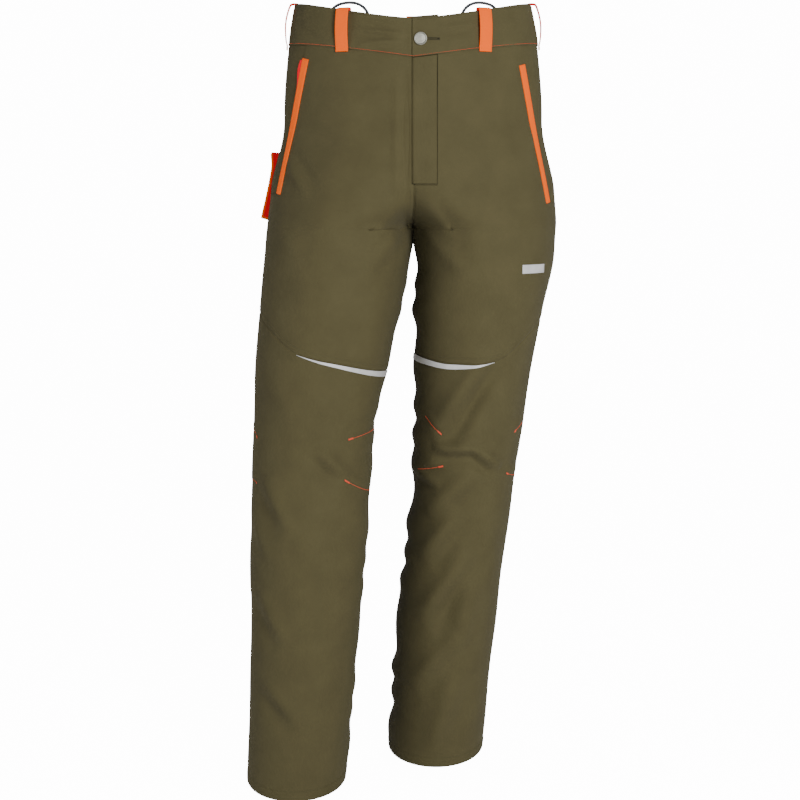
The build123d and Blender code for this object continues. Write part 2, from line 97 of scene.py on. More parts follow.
studio_air = bpy.data.worlds.new("studio_air")
studio_air.use_nodes = True
studio_air.node_tree.nodes["Background"].inputs["Color"].default_value = (1, 1, 1, 1)
studio_air.node_tree.nodes["Background"].inputs["Strength"].default_value = 0.16
bpy.context.scene.world = studio_air

SOFTBOXES = {
    "key_light": ((1.2, -2.5, 0.35), 0.9, 84),
    "fill_light": ((-2.7, -0.9, -0.1), 1.6, 26),
    "top_light": ((0.2, 0.6, 2.2), 1.6, 14),
}
for light_name, (place, size, power) in SOFTBOXES.items():
    lamp = bpy.data.lights.new(light_name, "AREA")
    lamp.shape, lamp.size, lamp.energy = "DISK", size, power
    lamp_object = bpy.data.objects.new(light_name, lamp)
    lamp_object.location = place
    aim = Vector((0.0, 0.0, -0.5)) - Vector(place)
    lamp_object.rotation_euler = aim.to_track_quat("-Z", "Y").to_euler()
    bpy.context.collection.objects.link(lamp_object)

camera_data = bpy.data.cameras.new("camera")
camera_data.lens, camera_data.sensor_width = 72.2, 36
camera = bpy.data.objects.new("camera", camera_data)
camera.location = (-0.018, -2.25, -0.255)
camera.rotation_euler = (Vector((-0.018, 0, -0.547)) - camera.location).to_track_quat("-Z", "Y").to_euler()
bpy.context.collection.objects.link(camera)
bpy.context.scene.camera = camera


# ---------------------------------------------------------------- brace loops
# Two dark braided elastic cords. Each is one short length, both ends sewn into
# the inside of the waistband, arching up behind a front belt loop.
def paint(red, green, blue):
    """A colour given as eight-bit screen values, made linear."""
    value = np.array([red, green, blue]) / 255
    linear = np.where(value <= 0.04045, value / 12.92, ((value + 0.055) / 1.055) ** 2.4)
    return (*linear.tolist(), 1.0)


def braid_group():
    """Braided cord cover: two crossing sets of diagonal ridges over Object coordinates, the colour going from
    the thread colour on the ridges to the darker hollow colour between them as painted shade.
    """
    group = bpy.data.node_groups.new("braided_cover", "ShaderNodeTree")
    for label, kind, way in (
        ("Thread", "NodeSocketColor", "INPUT"), ("Hollow", "NodeSocketColor", "INPUT"),
        ("Spacing", "NodeSocketFloat", "INPUT"), ("Color", "NodeSocketColor", "OUTPUT"),
        ("Height", "NodeSocketFloat", "OUTPUT"),
    ):
        group.interface.new_socket(name=label, in_out=way, socket_type=kind)
    make, link = group.nodes.new, group.links.new
    given, out = make("NodeGroupInput"), make("NodeGroupOutput")
    place = make("ShaderNodeTexCoord")
    split = make("ShaderNodeSeparateXYZ")
    link(place.outputs["Object"], split.inputs[0])
    ridges = []
    for way in (1, -1):
        run = make("ShaderNodeMath")
        run.operation = "MULTIPLY_ADD"
        link(split.outputs["Z"], run.inputs[0])
        run.inputs[1].default_value = way
        link(split.outputs["X"], run.inputs[2])
        scaled = make("ShaderNodeMath")
        scaled.operation = "DIVIDE"
        link(run.outputs[0], scaled.inputs[0])
        link(given.outputs["Spacing"], scaled.inputs[1])
        wave = make("ShaderNodeMath")
        wave.operation = "SINE"
        link(scaled.outputs[0], wave.inputs[0])
        ridges.append(wave)
    crossed = make("ShaderNodeMath")
    crossed.operation = "MAXIMUM"
    link(ridges[0].outputs[0], crossed.inputs[0])
    link(ridges[1].outputs[0], crossed.inputs[1])
    height = make("ShaderNodeMapRange")
    height.inputs["From Min"].default_value = -1
    link(crossed.outputs[0], height.inputs["Value"])
    # Painted shade: the colour is mixed by height, so the hollows between the ridges take the darker colour.
    shade = make("ShaderNodeMix")
    shade.data_type = "RGBA"
    link(height.outputs[0], shade.inputs["Factor"])
    link(given.outputs["Hollow"], shade.inputs["A"])
    link(given.outputs["Thread"], shade.inputs["B"])
    link(shade.outputs["Result"], out.inputs["Color"])
    link(height.outputs[0], out.inputs["Height"])
    return group


def braided_finish(name, thread, hollow, spacing):
    """Matt braided elastic: the braid group's colour, with painted shade in the hollows between the ridges,
    and a shallow bump.
    """
    material = bpy.data.materials.new(name)
    material.use_nodes = True
    nodes, link = material.node_tree.nodes, material.node_tree.links.new
    shader = nodes["Principled BSDF"]
    cover = nodes.new("ShaderNodeGroup")
    cover.node_tree = braid_group()
    cover.inputs["Thread"].default_value = thread
    cover.inputs["Hollow"].default_value = hollow
    cover.inputs["Spacing"].default_value = spacing
    bump = nodes.new("ShaderNodeBump")
    bump.inputs["Distance"].default_value = 0.0003
    bump.inputs["Strength"].default_value = 0.7
    link(cover.outputs["Color"], shader.inputs["Base Color"])
    link(cover.outputs["Height"], bump.inputs["Height"])
    link(bump.outputs["Normal"], shader.inputs["Normal"])
    shader.inputs["Roughness"].default_value = 0.72
    shader.inputs["Sheen Weight"].default_value = 0.25
    return material


ARCH = [(0, -50), (1, -30), (8, -11), (28, -6), (46, -8.5), (58, -19), (61, -34), (61.5, -50)]
ARCH_SPAN = 65
BRACE_ENDS = {"right": ((-115, -66), (-54, -89.5)), "left": ((116, -66), (58, -88.5))}
CORD_DIAMETER = 0.004
# The second colour is painted shade for the hollows between the braid's ridges.
brace_finish = braided_finish("brace_elastic", paint(58, 63, 68), paint(22, 24, 27), 0.00024)
for side, (start, end) in BRACE_ENDS.items():
    start, end = np.array(start, float), np.array(end, float)
    along = (end - start) / ARCH_SPAN
    route = [(*(start + along * u), z) for u, z in ARCH]
    cord_curve = bpy.data.curves.new(f"brace_loop_{side}_cord", "CURVE")
    cord_curve.dimensions = "3D"
    cord_curve.bevel_depth = CORD_DIAMETER / 2
    cord_curve.bevel_resolution = 5
    cord_curve.resolution_u = 24
    cord_curve.use_fill_caps = True
    line = cord_curve.splines.new("NURBS")
    line.points.add(len(route) - 1)
    for point, (x, y, z) in zip(line.points, route):
        point.co = (x / 1000, y / 1000, z / 1000, 1)
    line.order_u = 3
    line.use_endpoint_u = True
    cord_curve.materials.append(brace_finish)
    brace = bpy.data.objects.new(f"brace_loop_{side}_cord", cord_curve)
    bpy.context.collection.objects.link(brace)
    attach(brace, "seat")
    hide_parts(f"brace_loop_{side}")


# ---------------------------------------------------------------- front panels
# Olive stretch twill. Each front is cut in one from the waist seam to the shaped
# knee seam, with its slant pocket mouth and the fly side cut away.
OUTWARD = {"right": -1.0, "left": 1.0}
# girths of the worn garment: depth, centre x, half width, half depth, centre y, in mm
HIP_GIRTHS = [(0, 0, 161, 104, 4), (55, 0, 171, 110, 5), (155, 0, 179, 125, 12)]
LEG_GIRTHS = {
    "right": [
        (235, -34, 161, 134, 14), (270, -70, 129, 134, 13), (305, -102, 102, 131, 11),
        (343, -105, 102, 127, 8), (425, -117, 99, 116, 0), (510, -130, 92, 106, -6),
        (595, -140, 85, 98, -12), (680, -144, 84, 94, -18), (850, -152, 78, 90, -26),
        (1095, -166, 70, 83, -40),
    ],
    "left": [
        (235, 34, 161, 134, 14), (270, 70, 129, 134, 13), (305, 100, 100, 131, 11),
        (343, 101, 97, 127, 10), (425, 91, 89, 114, 9), (510, 85, 82, 104, 15),
        (595, 78, 77, 97, 22), (680, 72, 73, 93, 30), (850, 52, 72, 88, 42),
        (1095, 33, 70, 83, 60),
    ],
}
WAIST_SIDE, WAIST_FRONT, WAIST_BACK, BAND_REACH = -56, -80, -66, 172
CROTCH, FLY_EDGE, FLY_STITCH, FLY_FOOT = -305, -2, 31, -245
POCKET = {"right": ((-148, -77), (-186, -257)), "left": ((149, -85), (186, -269))}
KNEE_SEAM = {
    "right": [(-240, -400), (-205, -436), (-157, -472), (-98, -486), (-30, -503), (0, -509)],
    "left": [(-40, -470), (-20, -474), (14, -482), (48, -487), (80, -487), (111, -484), (165, -437),
    (210, -385)],
}
HEM = {"right": (-1095, -1070), "left": (-1091, -1061)}
HEM_REACH = 180


def through(knots, values, at):
    """A smooth line through values at knots: cubics whose slope at each knot is the harmonic mean of the
    slopes either side of it, or nil where they turn."""
    step = np.diff(knots)
    slope = np.diff(values, axis=0) / step[:, None]
    product = slope[:-1] * slope[1:]
    total = slope[:-1] + slope[1:]
    middle = np.where(product > 0, 2 * product / np.where(total == 0, 1, total), 0)
    tangent = np.concatenate([slope[:1], middle, slope[-1:]])
    index = np.clip(np.searchsorted(knots, at) - 1, 0, len(step) - 1)
    share = ((at - knots[index]) / step[index])[..., None]
    width = step[index][..., None]
    one, two = values[index], values[index + 1]
    return (
        one * (1 + 2 * share) * (1 - share) ** 2 + two * share**2 * (3 - 2 * share)
        + tangent[index] * width * share * (1 - share) ** 2
        - tangent[index + 1] * width * share**2 * (1 - share)
    )


def girth(side, z):
    """Centre x, half width, half depth and centre y of the garment at height z."""
    rows = np.array(HIP_GIRTHS + LEG_GIRTHS[side], float)
    return np.moveaxis(through(rows[:, 0], rows[:, 1:], -np.asarray(z, float)), -1, 0)


def half_turn(side, z, centre_x, half_width):
    """The angle from the side seam to the centre seam above the crotch, and half a turn below it."""
    reach = np.arccos(np.clip(-OUTWARD[side] * centre_x / half_width, -1, 1))
    return np.where(np.asarray(z) < CROTCH, np.pi, reach)


def worn(side, u, z, inset=0.0):
    """A point of the worn shape, inset from its face: round the ellipse at height z, from the side seam at
    u = 0 to the front centre or inseam at u = 1 and the back centre or inseam at u = -1."""
    centre_x, half_width, half_depth, centre_y = girth(side, z)
    half_width, half_depth = half_width - inset, half_depth - inset
    sign = OUTWARD[side]
    turn = u * half_turn(side, z, centre_x, half_width)
    x = centre_x + sign * half_width * np.cos(turn)
    return np.stack([x, centre_y - half_depth * np.sin(turn), z + 0 * x], -1)


def across(side, x, z, front=True):
    """The u at which the worn shape passes x at height z."""
    centre_x, half_width, _, _ = girth(side, z)
    sign = OUTWARD[side]
    turn = np.arccos(np.clip(sign * (x - centre_x) / half_width, -1, 1))
    return (1 if front else -1) * turn / half_turn(side, z, centre_x, half_width)


def creases(x, z, folds):
    """Sum of creases, each given as x1, z1, x2, z2, width, height: a rounded ridge along the segment with a
    shallower hollow beside it, both fading out towards the segment's ends."""
    x1, z1, x2, z2, width, height = (np.array(part, float)[:, None, None] for part in zip(*folds))
    run_x, run_z = x2 - x1, z2 - z1
    length = np.hypot(run_x, run_z)
    share = np.clip(((x - x1) * run_x + (z - z1) * run_z) / length**2, 0, 1)
    off = ((x - x1) * run_z - (z - z1) * run_x) / length
    fade = np.sin(np.pi * share) ** 0.8
    ridge = np.exp(-((off / width) ** 2)) - 0.6 * np.exp(-(((off - 1.8 * width) / width) ** 2))
    return (height * fade * ridge).sum(0)


# creases in the fronts and backs, each x1, z1, x2, z2, width, height in mm
FRONT_FOLDS = {
    "right": [
        (-140, -262, -176, -206, 8, 2.2), (-150, -150, -60, -178, 16, 1.4), (-60, -330, -8, -262, 9, 1.8),
        (-9, -84, -9, -300, 7, -3.4), (-20, -250, -12, -330, 9, -2.0), (-128, -118, -70, -150, 14, 1.1),
        (-70, -366, -6, -292, 10, 2.0), (-204, -640, -165, -715, 12, 3.6), (-132, -596, -88, -644, 9, 4.0),
        (-210, -800, -170, -875, 12, 3.4), (-205, -925, -150, -985, 12, 3.6),
        (-120, -900, -105, -1040, 16, 1.6),
        (-95, -560, -150, -540, 14, 1.2), (-200, -500, -160, -560, 16, 1.4),
        (-120, -760, -100, -860, 14, 1.2),
        (-225, -690, -195, -760, 9, 1.6), (-150, -340, -190, -300, 14, 1.6),
    ],
    "left": [
        (60, -330, 8, -262, 9, 1.8), (75, -372, 6, -296, 10, 1.6), (124, -476, 42, -606, 13, -7.5),
        (26, -606, 88, -604, 9, 5.2), (80, -600, 122, -636, 8, 5.6), (16, -702, 92, -632, 14, 4.6),
        (10, -770, 64, -690, 12, 4.4), (6, -860, 78, -752, 13, 4.8), (84, -790, 58, -930, 14, 3.8),
        (-4, -960, 62, -872, 13, 3.6), (26, -1060, 62, -930, 14, 3.0), (95, -690, 122, -800, 12, 2.0),
        (155, -200, 182, -150, 8, 1.4), (120, -520, 148, -600, 12, 1.6), (0, -640, 40, -660, 8, 2.4),
    ],
}
BACK_FOLDS = {
    "right": [
        (-30, -330, -120, -300, 12, 2.6), (-40, -360, -130, -345, 12, 2.4), (-80, -600, -190, -590, 11, 3.2),
        (-70, -640, -200, -625, 12, 3.6), (-85, -680, -190, -672, 11, 2.8), (-100, -760, -180, -720, 13, 2.2),
        (-95, -900, -170, -860, 14, 1.8), (-110, -1000, -180, -960, 13, 1.8), (-20, -250, -90, -215, 14, 1.6),
    ],
    "left": [
        (30, -330, 120, -300, 12, 2.6), (40, -360, 130, -345, 12, 2.4), (20, -600, 130, -590, 11, 3.2),
        (15, -645, 135, -625, 12, 3.6), (20, -685, 120, -672, 11, 2.8), (15, -760, 95, -725, 13, 2.2),
        (0, -880, 90, -850, 14, 1.8), (-10, -990, 70, -960, 13, 1.8), (20, -250, 90, -215, 14, 1.6),
    ],
}
SEAM_PUCKER = {"right": 1.0, "left": 2.6}
FOLD_DEPTH = 1.7
CROTCH_CLOSE = 3.4


def smooth(value):
    """An ease from 0 to 1."""
    value = np.clip(value, 0, 1)
    return value * value * (3 - 2 * value)


def pocket_x(side, z):
    """x of the pocket mouth's edge at height z: straight from its top end to its foot."""
    (top_x, top_z), (foot_x, foot_z) = POCKET[side]
    share = (z - top_z) / (foot_z - top_z)
    return top_x + (foot_x - top_x) * share


def drape(side, u, z):
    """How far the cloth lies in from its drawn shape: long shallow waves that calm down at the crotch, the
    creases above, puckers down the inseam, a swell where the two legs meet under the crotch, and a narrow
    groove along the side seam and the inseam."""
    u, z = np.broadcast_arrays(np.asarray(u, float), np.asarray(z, float))
    flat_u, flat_z = np.atleast_2d(u), np.atleast_2d(z)
    point = worn(side, flat_u, flat_z)
    sign = OUTWARD[side]
    legs = np.clip((-flat_z - 300) / 120, 0, 1)
    hold = 1 - np.abs(np.clip(flat_u, -1, 1)) ** 24
    wave = 0.9 * np.sin(flat_z / 47 + 3.1 * flat_u + sign) * np.sin(2.7 * flat_u + flat_z / 173)
    wave = wave + 0.5 * np.sin(flat_z / 23 - 5.3 * flat_u + 2 * sign) * legs
    fold = np.where(
        flat_u >= 0, creases(point[..., 0], flat_z, FRONT_FOLDS[side]),
        creases(point[..., 0], flat_z, BACK_FOLDS[side]),
    )
    near_side = np.clip(np.abs(flat_u) / 0.16, 0, 1)
    foot = POCKET[side][1][1]
    mouth_z = np.maximum(flat_z, foot)
    from_mouth = smooth((flat_u - across(side, pocket_x(side, mouth_z), mouth_z)) / 0.12)
    fold = fold * np.where(flat_u > 0, np.maximum(from_mouth, smooth((foot - flat_z) / 25)), 1)
    calm = 1 - 0.92 * np.exp(-(((flat_z - CROTCH) / 15) ** 2))
    raised = hold * (wave * calm * (0.35 + 0.65 * legs) + FOLD_DEPTH * fold * (0.3 + 0.7 * near_side))
    inseam = np.clip((np.abs(flat_u) - 0.72) / 0.28, 0, 1) ** 2 * legs
    pucker = np.sin(flat_z / 8.9 + 1.7 * np.sin(flat_z / 31)) + 0.6 * np.sin(flat_z / 17.3)
    raised = raised + SEAM_PUCKER[side] * inseam * pucker
    meeting = smooth((CROTCH + 8 - flat_z) / 10) * (1 - smooth((CROTCH - 8 - flat_z) / 34))
    raised = raised + CROTCH_CLOSE * meeting * smooth((np.abs(flat_u) - 0.84) / 0.14)
    arc = np.abs(flat_u) * 150
    arc_in = (1 - np.abs(np.clip(flat_u, -1, 1))) * 230
    groove = 1.0 * np.exp(-((arc / 2.2) ** 2)) + 0.8 * np.exp(-((arc_in / 2.2) ** 2))
    return (groove - raised).reshape(u.shape)


def on_cloth(side, u, z, lift=0.0):
    """A point on the draped cloth, lifted off its face."""
    return worn(side, u, z, drape(side, u, z) - lift)


def waist_seam(side, u, front=True):
    """Height of the seam under the waistband: straight in x from the side to the centre."""
    x = np.abs(worn(side, np.clip(u, -1, 1), -70.0 + 0 * u)[..., 0])
    centre = WAIST_FRONT if front else WAIST_BACK
    return centre + (WAIST_SIDE - centre) * np.minimum(x / BAND_REACH, 1)


def knee_seam(side, u):
    """Height of the knee seam: its shaped line across the front, and a plain curve round the back."""
    line = np.array(KNEE_SEAM[side], float)
    u = np.asarray(u, float)
    height = through(line[:, 0], line[:, 1:],
        worn(side, np.clip(np.abs(u), 0, 1), -478.0 + 0 * u)[..., 0])[..., 0]
    side_end, inner_end = (
        through(line[:, 0], line[:, 1:], worn(side, np.array(end), np.array(-478.0))[..., 0])[..., 0]
        for end in (0.0, 1.0)
    )
    share = np.abs(np.clip(u, -1, 1))
    behind = side_end + (inner_end - side_end) * share**2 * (3 - 2 * share)
    return np.where(u >= 0, height, behind)


def hem_height(side, u):
    """Height of the hem: straight from the front of the leg down to its back."""
    front_z, back_z = HEM[side]
    y = worn(side, u, -1080.0 + 0 * u)[..., 1]
    return front_z + (back_z - front_z) * (y + HEM_REACH) / (2 * HEM_REACH)


def eased(count, power=1.6):
    """Shares from 0 to 1, closer together at both ends."""
    share = np.linspace(0, 1, count)
    low = 0.5 * (2 * share) ** power
    high = 1 - 0.5 * (2 * (1 - share)) ** power
    return np.where(share < 0.5, low, high)


def outward_mesh(name, points, facing=None, keep=None, cyclic=False):
    """A mesh of the grid points (rows, columns, xyz in mm): quads turned to face the way that facing points
    in the middle of the grid, without the faces outside keep, and with lengths along the cloth as UVs."""
    rows, columns = points.shape[:2]
    row, column = np.meshgrid(np.arange(rows - 1), np.arange(columns - 1 + cyclic), indexing="ij")
    if keep is not None:
        row, column = row[keep], column[keep]
    row, column = row.ravel(), column.ravel()
    nxt = (column + 1) % columns
    faces = np.stack([row * columns + column, row * columns + nxt,
                      (row + 1) * columns + nxt, (row + 1) * columns + column], 1)
    along = np.linalg.norm(np.diff(points, axis=1), axis=-1)
    down = np.linalg.norm(np.diff(points, axis=0), axis=-1)
    u = np.concatenate([np.zeros((rows, 1)), np.cumsum(along, 1)], 1)
    v = np.concatenate([np.zeros((1, columns)), np.cumsum(down, 0)], 0)
    flat = points.reshape(-1, 3) / 1000
    if facing is not None:
        quad = flat[faces]
        normal = np.cross(quad[:, 2] - quad[:, 0], quad[:, 3] - quad[:, 1])
        way = np.broadcast_to(facing, points.shape).reshape(-1, 3)[faces[:, 0]]
        if (normal * way).sum() < 0:
            faces = faces[:, ::-1]
    used, faces = np.unique(faces, return_inverse=True)
    faces = faces.reshape(-1, 4)
    mesh = bpy.data.meshes.new(name)
    mesh.from_pydata(flat[used].tolist(), [], faces.tolist())
    uv = np.stack([u.reshape(-1)[used], v.reshape(-1)[used]], 1)[faces.ravel()] / 1000
    layer = mesh.uv_layers.new(name="cloth")
    layer.data.foreach_set("uv", uv.astype(np.float32).ravel())
    mesh.shade_smooth()
    return mesh


def outwards(side, u, z):
    """The level direction that the worn shape faces."""
    centre_x, half_width, half_depth, _ = girth(side, z)
    sign = OUTWARD[side]
    turn = u * half_turn(side, z, centre_x, half_width)
    way = np.stack([sign * np.cos(turn) / half_width, -np.sin(turn) / half_depth, 0 * turn], -1)
    return way / np.linalg.norm(way, axis=-1, keepdims=True)


def add_piece(name, mesh, material, thickness=0.0):
    """Puts a mesh in the scene as a piece, with an inward cloth thickness in mm."""
    thing = bpy.data.objects.new(name, mesh)
    bpy.context.collection.objects.link(thing)
    mesh.materials.append(material)
    if thickness:
        wall = thing.modifiers.new("cloth_thickness", "SOLIDIFY")
        wall.thickness = thickness / 1000
        wall.offset = -1
    return thing


def cloth_piece(name, points, facing, material, thickness):
    """Puts a grid of points in the scene as a piece of cloth that faces that way, its thickness in mm."""
    return add_piece(name, outward_mesh(name, points, facing), material, thickness)


def weave_group():
    """Twill: diagonal ribs across the UV map, broken by the crossing threads, with soft patches and
    flecks of lighter and darker yarn, and painted shade that darkens the grooves between the ribs."""
    group = bpy.data.node_groups.new("twill_weave", "ShaderNodeTree")
    for label, kind, way in (
        ("Light yarn", "NodeSocketColor", "INPUT"), ("Dark yarn", "NodeSocketColor", "INPUT"),
        ("Rib spacing", "NodeSocketFloat", "INPUT"), ("Patch scale", "NodeSocketFloat", "INPUT"),
        ("Roughness", "NodeSocketFloat", "INPUT"), ("Color", "NodeSocketColor", "OUTPUT"),
        ("Roughness", "NodeSocketFloat", "OUTPUT"), ("Height", "NodeSocketFloat", "OUTPUT"),
    ):
        group.interface.new_socket(name=label, in_out=way, socket_type=kind)
    make, link = group.nodes.new, group.links.new
    given, out = make("NodeGroupInput"), make("NodeGroupOutput")

    def sum_of(operation, first, second, third=None):
        """A Math node's result for these values or sockets."""
        node = make("ShaderNodeMath")
        node.operation = operation
        for socket, value in zip(node.inputs, (first, second, third)):
            if value is None:
                continue
            if isinstance(value, (int, float)):
                socket.default_value = value
            else:
                link(value, socket)
        return node.outputs[0]

    place = make("ShaderNodeTexCoord")
    split = make("ShaderNodeSeparateXYZ")
    link(place.outputs["UV"], split.inputs[0])
    turns = sum_of("DIVIDE", 2 * np.pi, given.outputs["Rib spacing"])
    rib = sum_of("SINE", sum_of("MULTIPLY", sum_of("ADD", split.outputs["X"], split.outputs["Y"]), turns), 0)
    cross = sum_of("SINE", sum_of("MULTIPLY", split.outputs["Y"], sum_of("MULTIPLY", turns, 1.7)), 0)
    ribs = sum_of("MULTIPLY_ADD", rib, 0.36, 0.5)
    height = sum_of("MULTIPLY_ADD", cross, 0.14, ribs)
    patches, flecks = make("ShaderNodeTexNoise"), make("ShaderNodeTexNoise")
    for noise in (patches, flecks):
        link(place.outputs["Object"], noise.inputs["Vector"])
    link(given.outputs["Patch scale"], patches.inputs["Scale"])
    patches.inputs["Detail"].default_value = 5
    flecks.inputs["Scale"].default_value = 700
    flecks.inputs["Detail"].default_value = 3
    tone_and_rib_shade = sum_of("MULTIPLY_ADD", patches.outputs["Fac"], 0.55,
        sum_of("MULTIPLY", flecks.outputs["Fac"], 0.3))
    # Painted shade: a quarter of the tone follows the rib height, so the grooves between the ribs come out
    # darker; the patches and flecks are the yarn's own random tone.
    tone_and_rib_shade = sum_of("MULTIPLY_ADD", height, 0.25, tone_and_rib_shade)
    shade = make("ShaderNodeMix")
    shade.data_type = "RGBA"
    link(tone_and_rib_shade, shade.inputs["Factor"])
    link(given.outputs["Dark yarn"], shade.inputs["A"])
    link(given.outputs["Light yarn"], shade.inputs["B"])
    link(shade.outputs["Result"], out.inputs["Color"])
    link(sum_of("MULTIPLY_ADD", flecks.outputs["Fac"], 0.16, given.outputs["Roughness"]),
        out.inputs["Roughness"])
    link(sum_of("MULTIPLY_ADD", flecks.outputs["Fac"], 0.5, height), out.inputs["Height"])
    return group


WEAVE = weave_group()


def woven(name, light, dark, spacing=0.0011, roughness=0.74, patch=26.0, bump=0.00012, sheen=0.03, glow=0.0):
    """A cloth: the twill group's colour, roughness and relief, with a faint sheen and, on high-visibility
    cloth, a uniform glow in the light yarn's colour that stands for its fluorescent dye: painted light that
    keeps it bright in shade."""
    material = bpy.data.materials.new(name)
    material.use_nodes = True
    nodes, link = material.node_tree.nodes, material.node_tree.links.new
    shader = nodes["Principled BSDF"]
    cloth = nodes.new("ShaderNodeGroup")
    cloth.node_tree = WEAVE
    cloth.inputs["Light yarn"].default_value = light
    cloth.inputs["Dark yarn"].default_value = dark
    cloth.inputs["Rib spacing"].default_value = spacing
    cloth.inputs["Patch scale"].default_value = patch
    cloth.inputs["Roughness"].default_value = roughness
    relief = nodes.new("ShaderNodeBump")
    relief.inputs["Distance"].default_value = bump
    relief.inputs["Strength"].default_value = 0.6
    link(cloth.outputs["Color"], shader.inputs["Base Color"])
    link(cloth.outputs["Roughness"], shader.inputs["Roughness"])
    link(cloth.outputs["Height"], relief.inputs["Height"])
    link(relief.outputs["Normal"], shader.inputs["Normal"])
    shader.inputs["Sheen Weight"].default_value = sheen
    shader.inputs["Specular IOR Level"].default_value = 0.12
    # Painted light: a constant emission that lights the cloth whatever the lamps do.
    if glow:
        shader.inputs["Emission Color"].default_value = light
        shader.inputs["Emission Strength"].default_value = glow
    return material


OLIVE = woven("olive_twill", paint(91, 85, 57), paint(66, 61, 40))
CLOTH_T = 1.1
HIP_BEND = dict(start=(0, 0, -0.265), end=(0, 0, -0.405))
KNEE_BEND = dict(start=(0, 0, -0.52), end=(0, 0, -0.72))


def upper_rows(side, u, front=True):
    """Heights of an upper panel's grid: rows from just under the waistband to the fly's foot, the pocket's
    foot, the crotch and the knee seam, closer together towards the seams and the crotch."""
    share = np.concatenate([
        eased(76)[:-1], 1 + eased(8, 1.0)[:-1], 3 - (1 - np.linspace(0, 1, 24)) ** 2, 4 + eased(90),
    ])[:, None]
    top, low = waist_seam(side, u, front) + 1.5, knee_seam(side, u)
    levels = [top, FLY_FOOT + 0 * top, POCKET[side][1][1] + 0 * top, CROTCH + 0 * top,
        CROTCH - 0.05 + 0 * top, low]
    z = top + sum((b - a) * np.clip(share - i, 0, 1) for i, (a, b) in enumerate(zip(levels, levels[1:])))
    turned_in = 1.2 * np.exp(-(((top - z) / 2.0) ** 2)) + 0.9 * np.exp(-(((z - low) / 2.0) ** 2))
    return z, turned_in


MOUTH_COLUMNS, FLY_COLUMNS, MIDDLE_COLUMNS = 18, 22, 84
for side in OUTWARD:
    foot = POCKET[side][1][1]
    line_z = upper_rows(side, np.linspace(0, 1, 4)[None, :])[0][:, :1]
    mouth_u = across(side, pocket_x(side, np.maximum(line_z, foot)), np.maximum(line_z, foot))
    fly_x = FLY_STITCH if side == "left" else FLY_EDGE - 0.6
    fly_u = np.minimum(across(side, fly_x + 0 * line_z, np.maximum(line_z, FLY_FOOT)), 0.995)
    u = np.concatenate([
        mouth_u * eased(MOUTH_COLUMNS)[None, :-1],
        mouth_u + (fly_u - mouth_u) * eased(MIDDLE_COLUMNS)[None, :-1],
        fly_u + (1 - fly_u) * eased(FLY_COLUMNS)[None, :],
    ], 1)
    z, turned_in = upper_rows(side, u)
    points = worn(side, u, z, drape(side, u, z) + turned_in)
    row_z = z[:-1, :-1]
    keep = np.ones(row_z.shape, bool)
    keep[:, : MOUTH_COLUMNS - 1] &= row_z[:, : MOUTH_COLUMNS - 1] <= foot + 0.01
    fly_from = MOUTH_COLUMNS + MIDDLE_COLUMNS - 2
    keep[:, fly_from:] &= row_z[:, fly_from:] <= FLY_FOOT + 0.01
    mesh = outward_mesh(f"front_panel_{side}", points, outwards(side, u, z), keep)
    panel = add_piece(f"front_panel_{side}", mesh, OLIVE, CLOTH_T)
    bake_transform(panel)
    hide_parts(f"hip_front_{side}", f"thigh_front_{side}", f"groin_fold_{side}")


# ---------------------------------------------------------------- hip side panels
# The piece outboard of each pocket mouth. It is sewn into the side seam and the
# waist seam and lies a cloth's thickness behind the front panel's bound edge.
RECESS = 2.0
for side in OUTWARD:
    foot = POCKET[side][1][1]
    share = eased(70)[:, None]
    edge_z = -62 + (foot - 7 + 62) * share
    mouth_u = across(side, pocket_x(side, edge_z), edge_z)
    u = (mouth_u + 0.05) * np.linspace(0, 1, 26)[None, :]
    top = waist_seam(side, u) + 1.5
    z = top + (foot - 7 - top) * share
    open_part = smooth((-70 - z) / 12) * smooth((z - foot) / 12 + 1)
    recess = RECESS * smooth((u / mouth_u - 0.45) / 0.5) * (0.35 + 0.65 * open_part)
    tucked = 1.2 * np.exp(-(((top - z) / 2.0) ** 2))
    points = worn(side, u, z, drape(side, u, z) + recess + tucked + 0.15)
    panel = cloth_piece(f"hip_side_panel_{side}", points, outwards(side, u, z), OLIVE, CLOTH_T)
    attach(panel, "seat")
    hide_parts(f"hip_side_{side}")


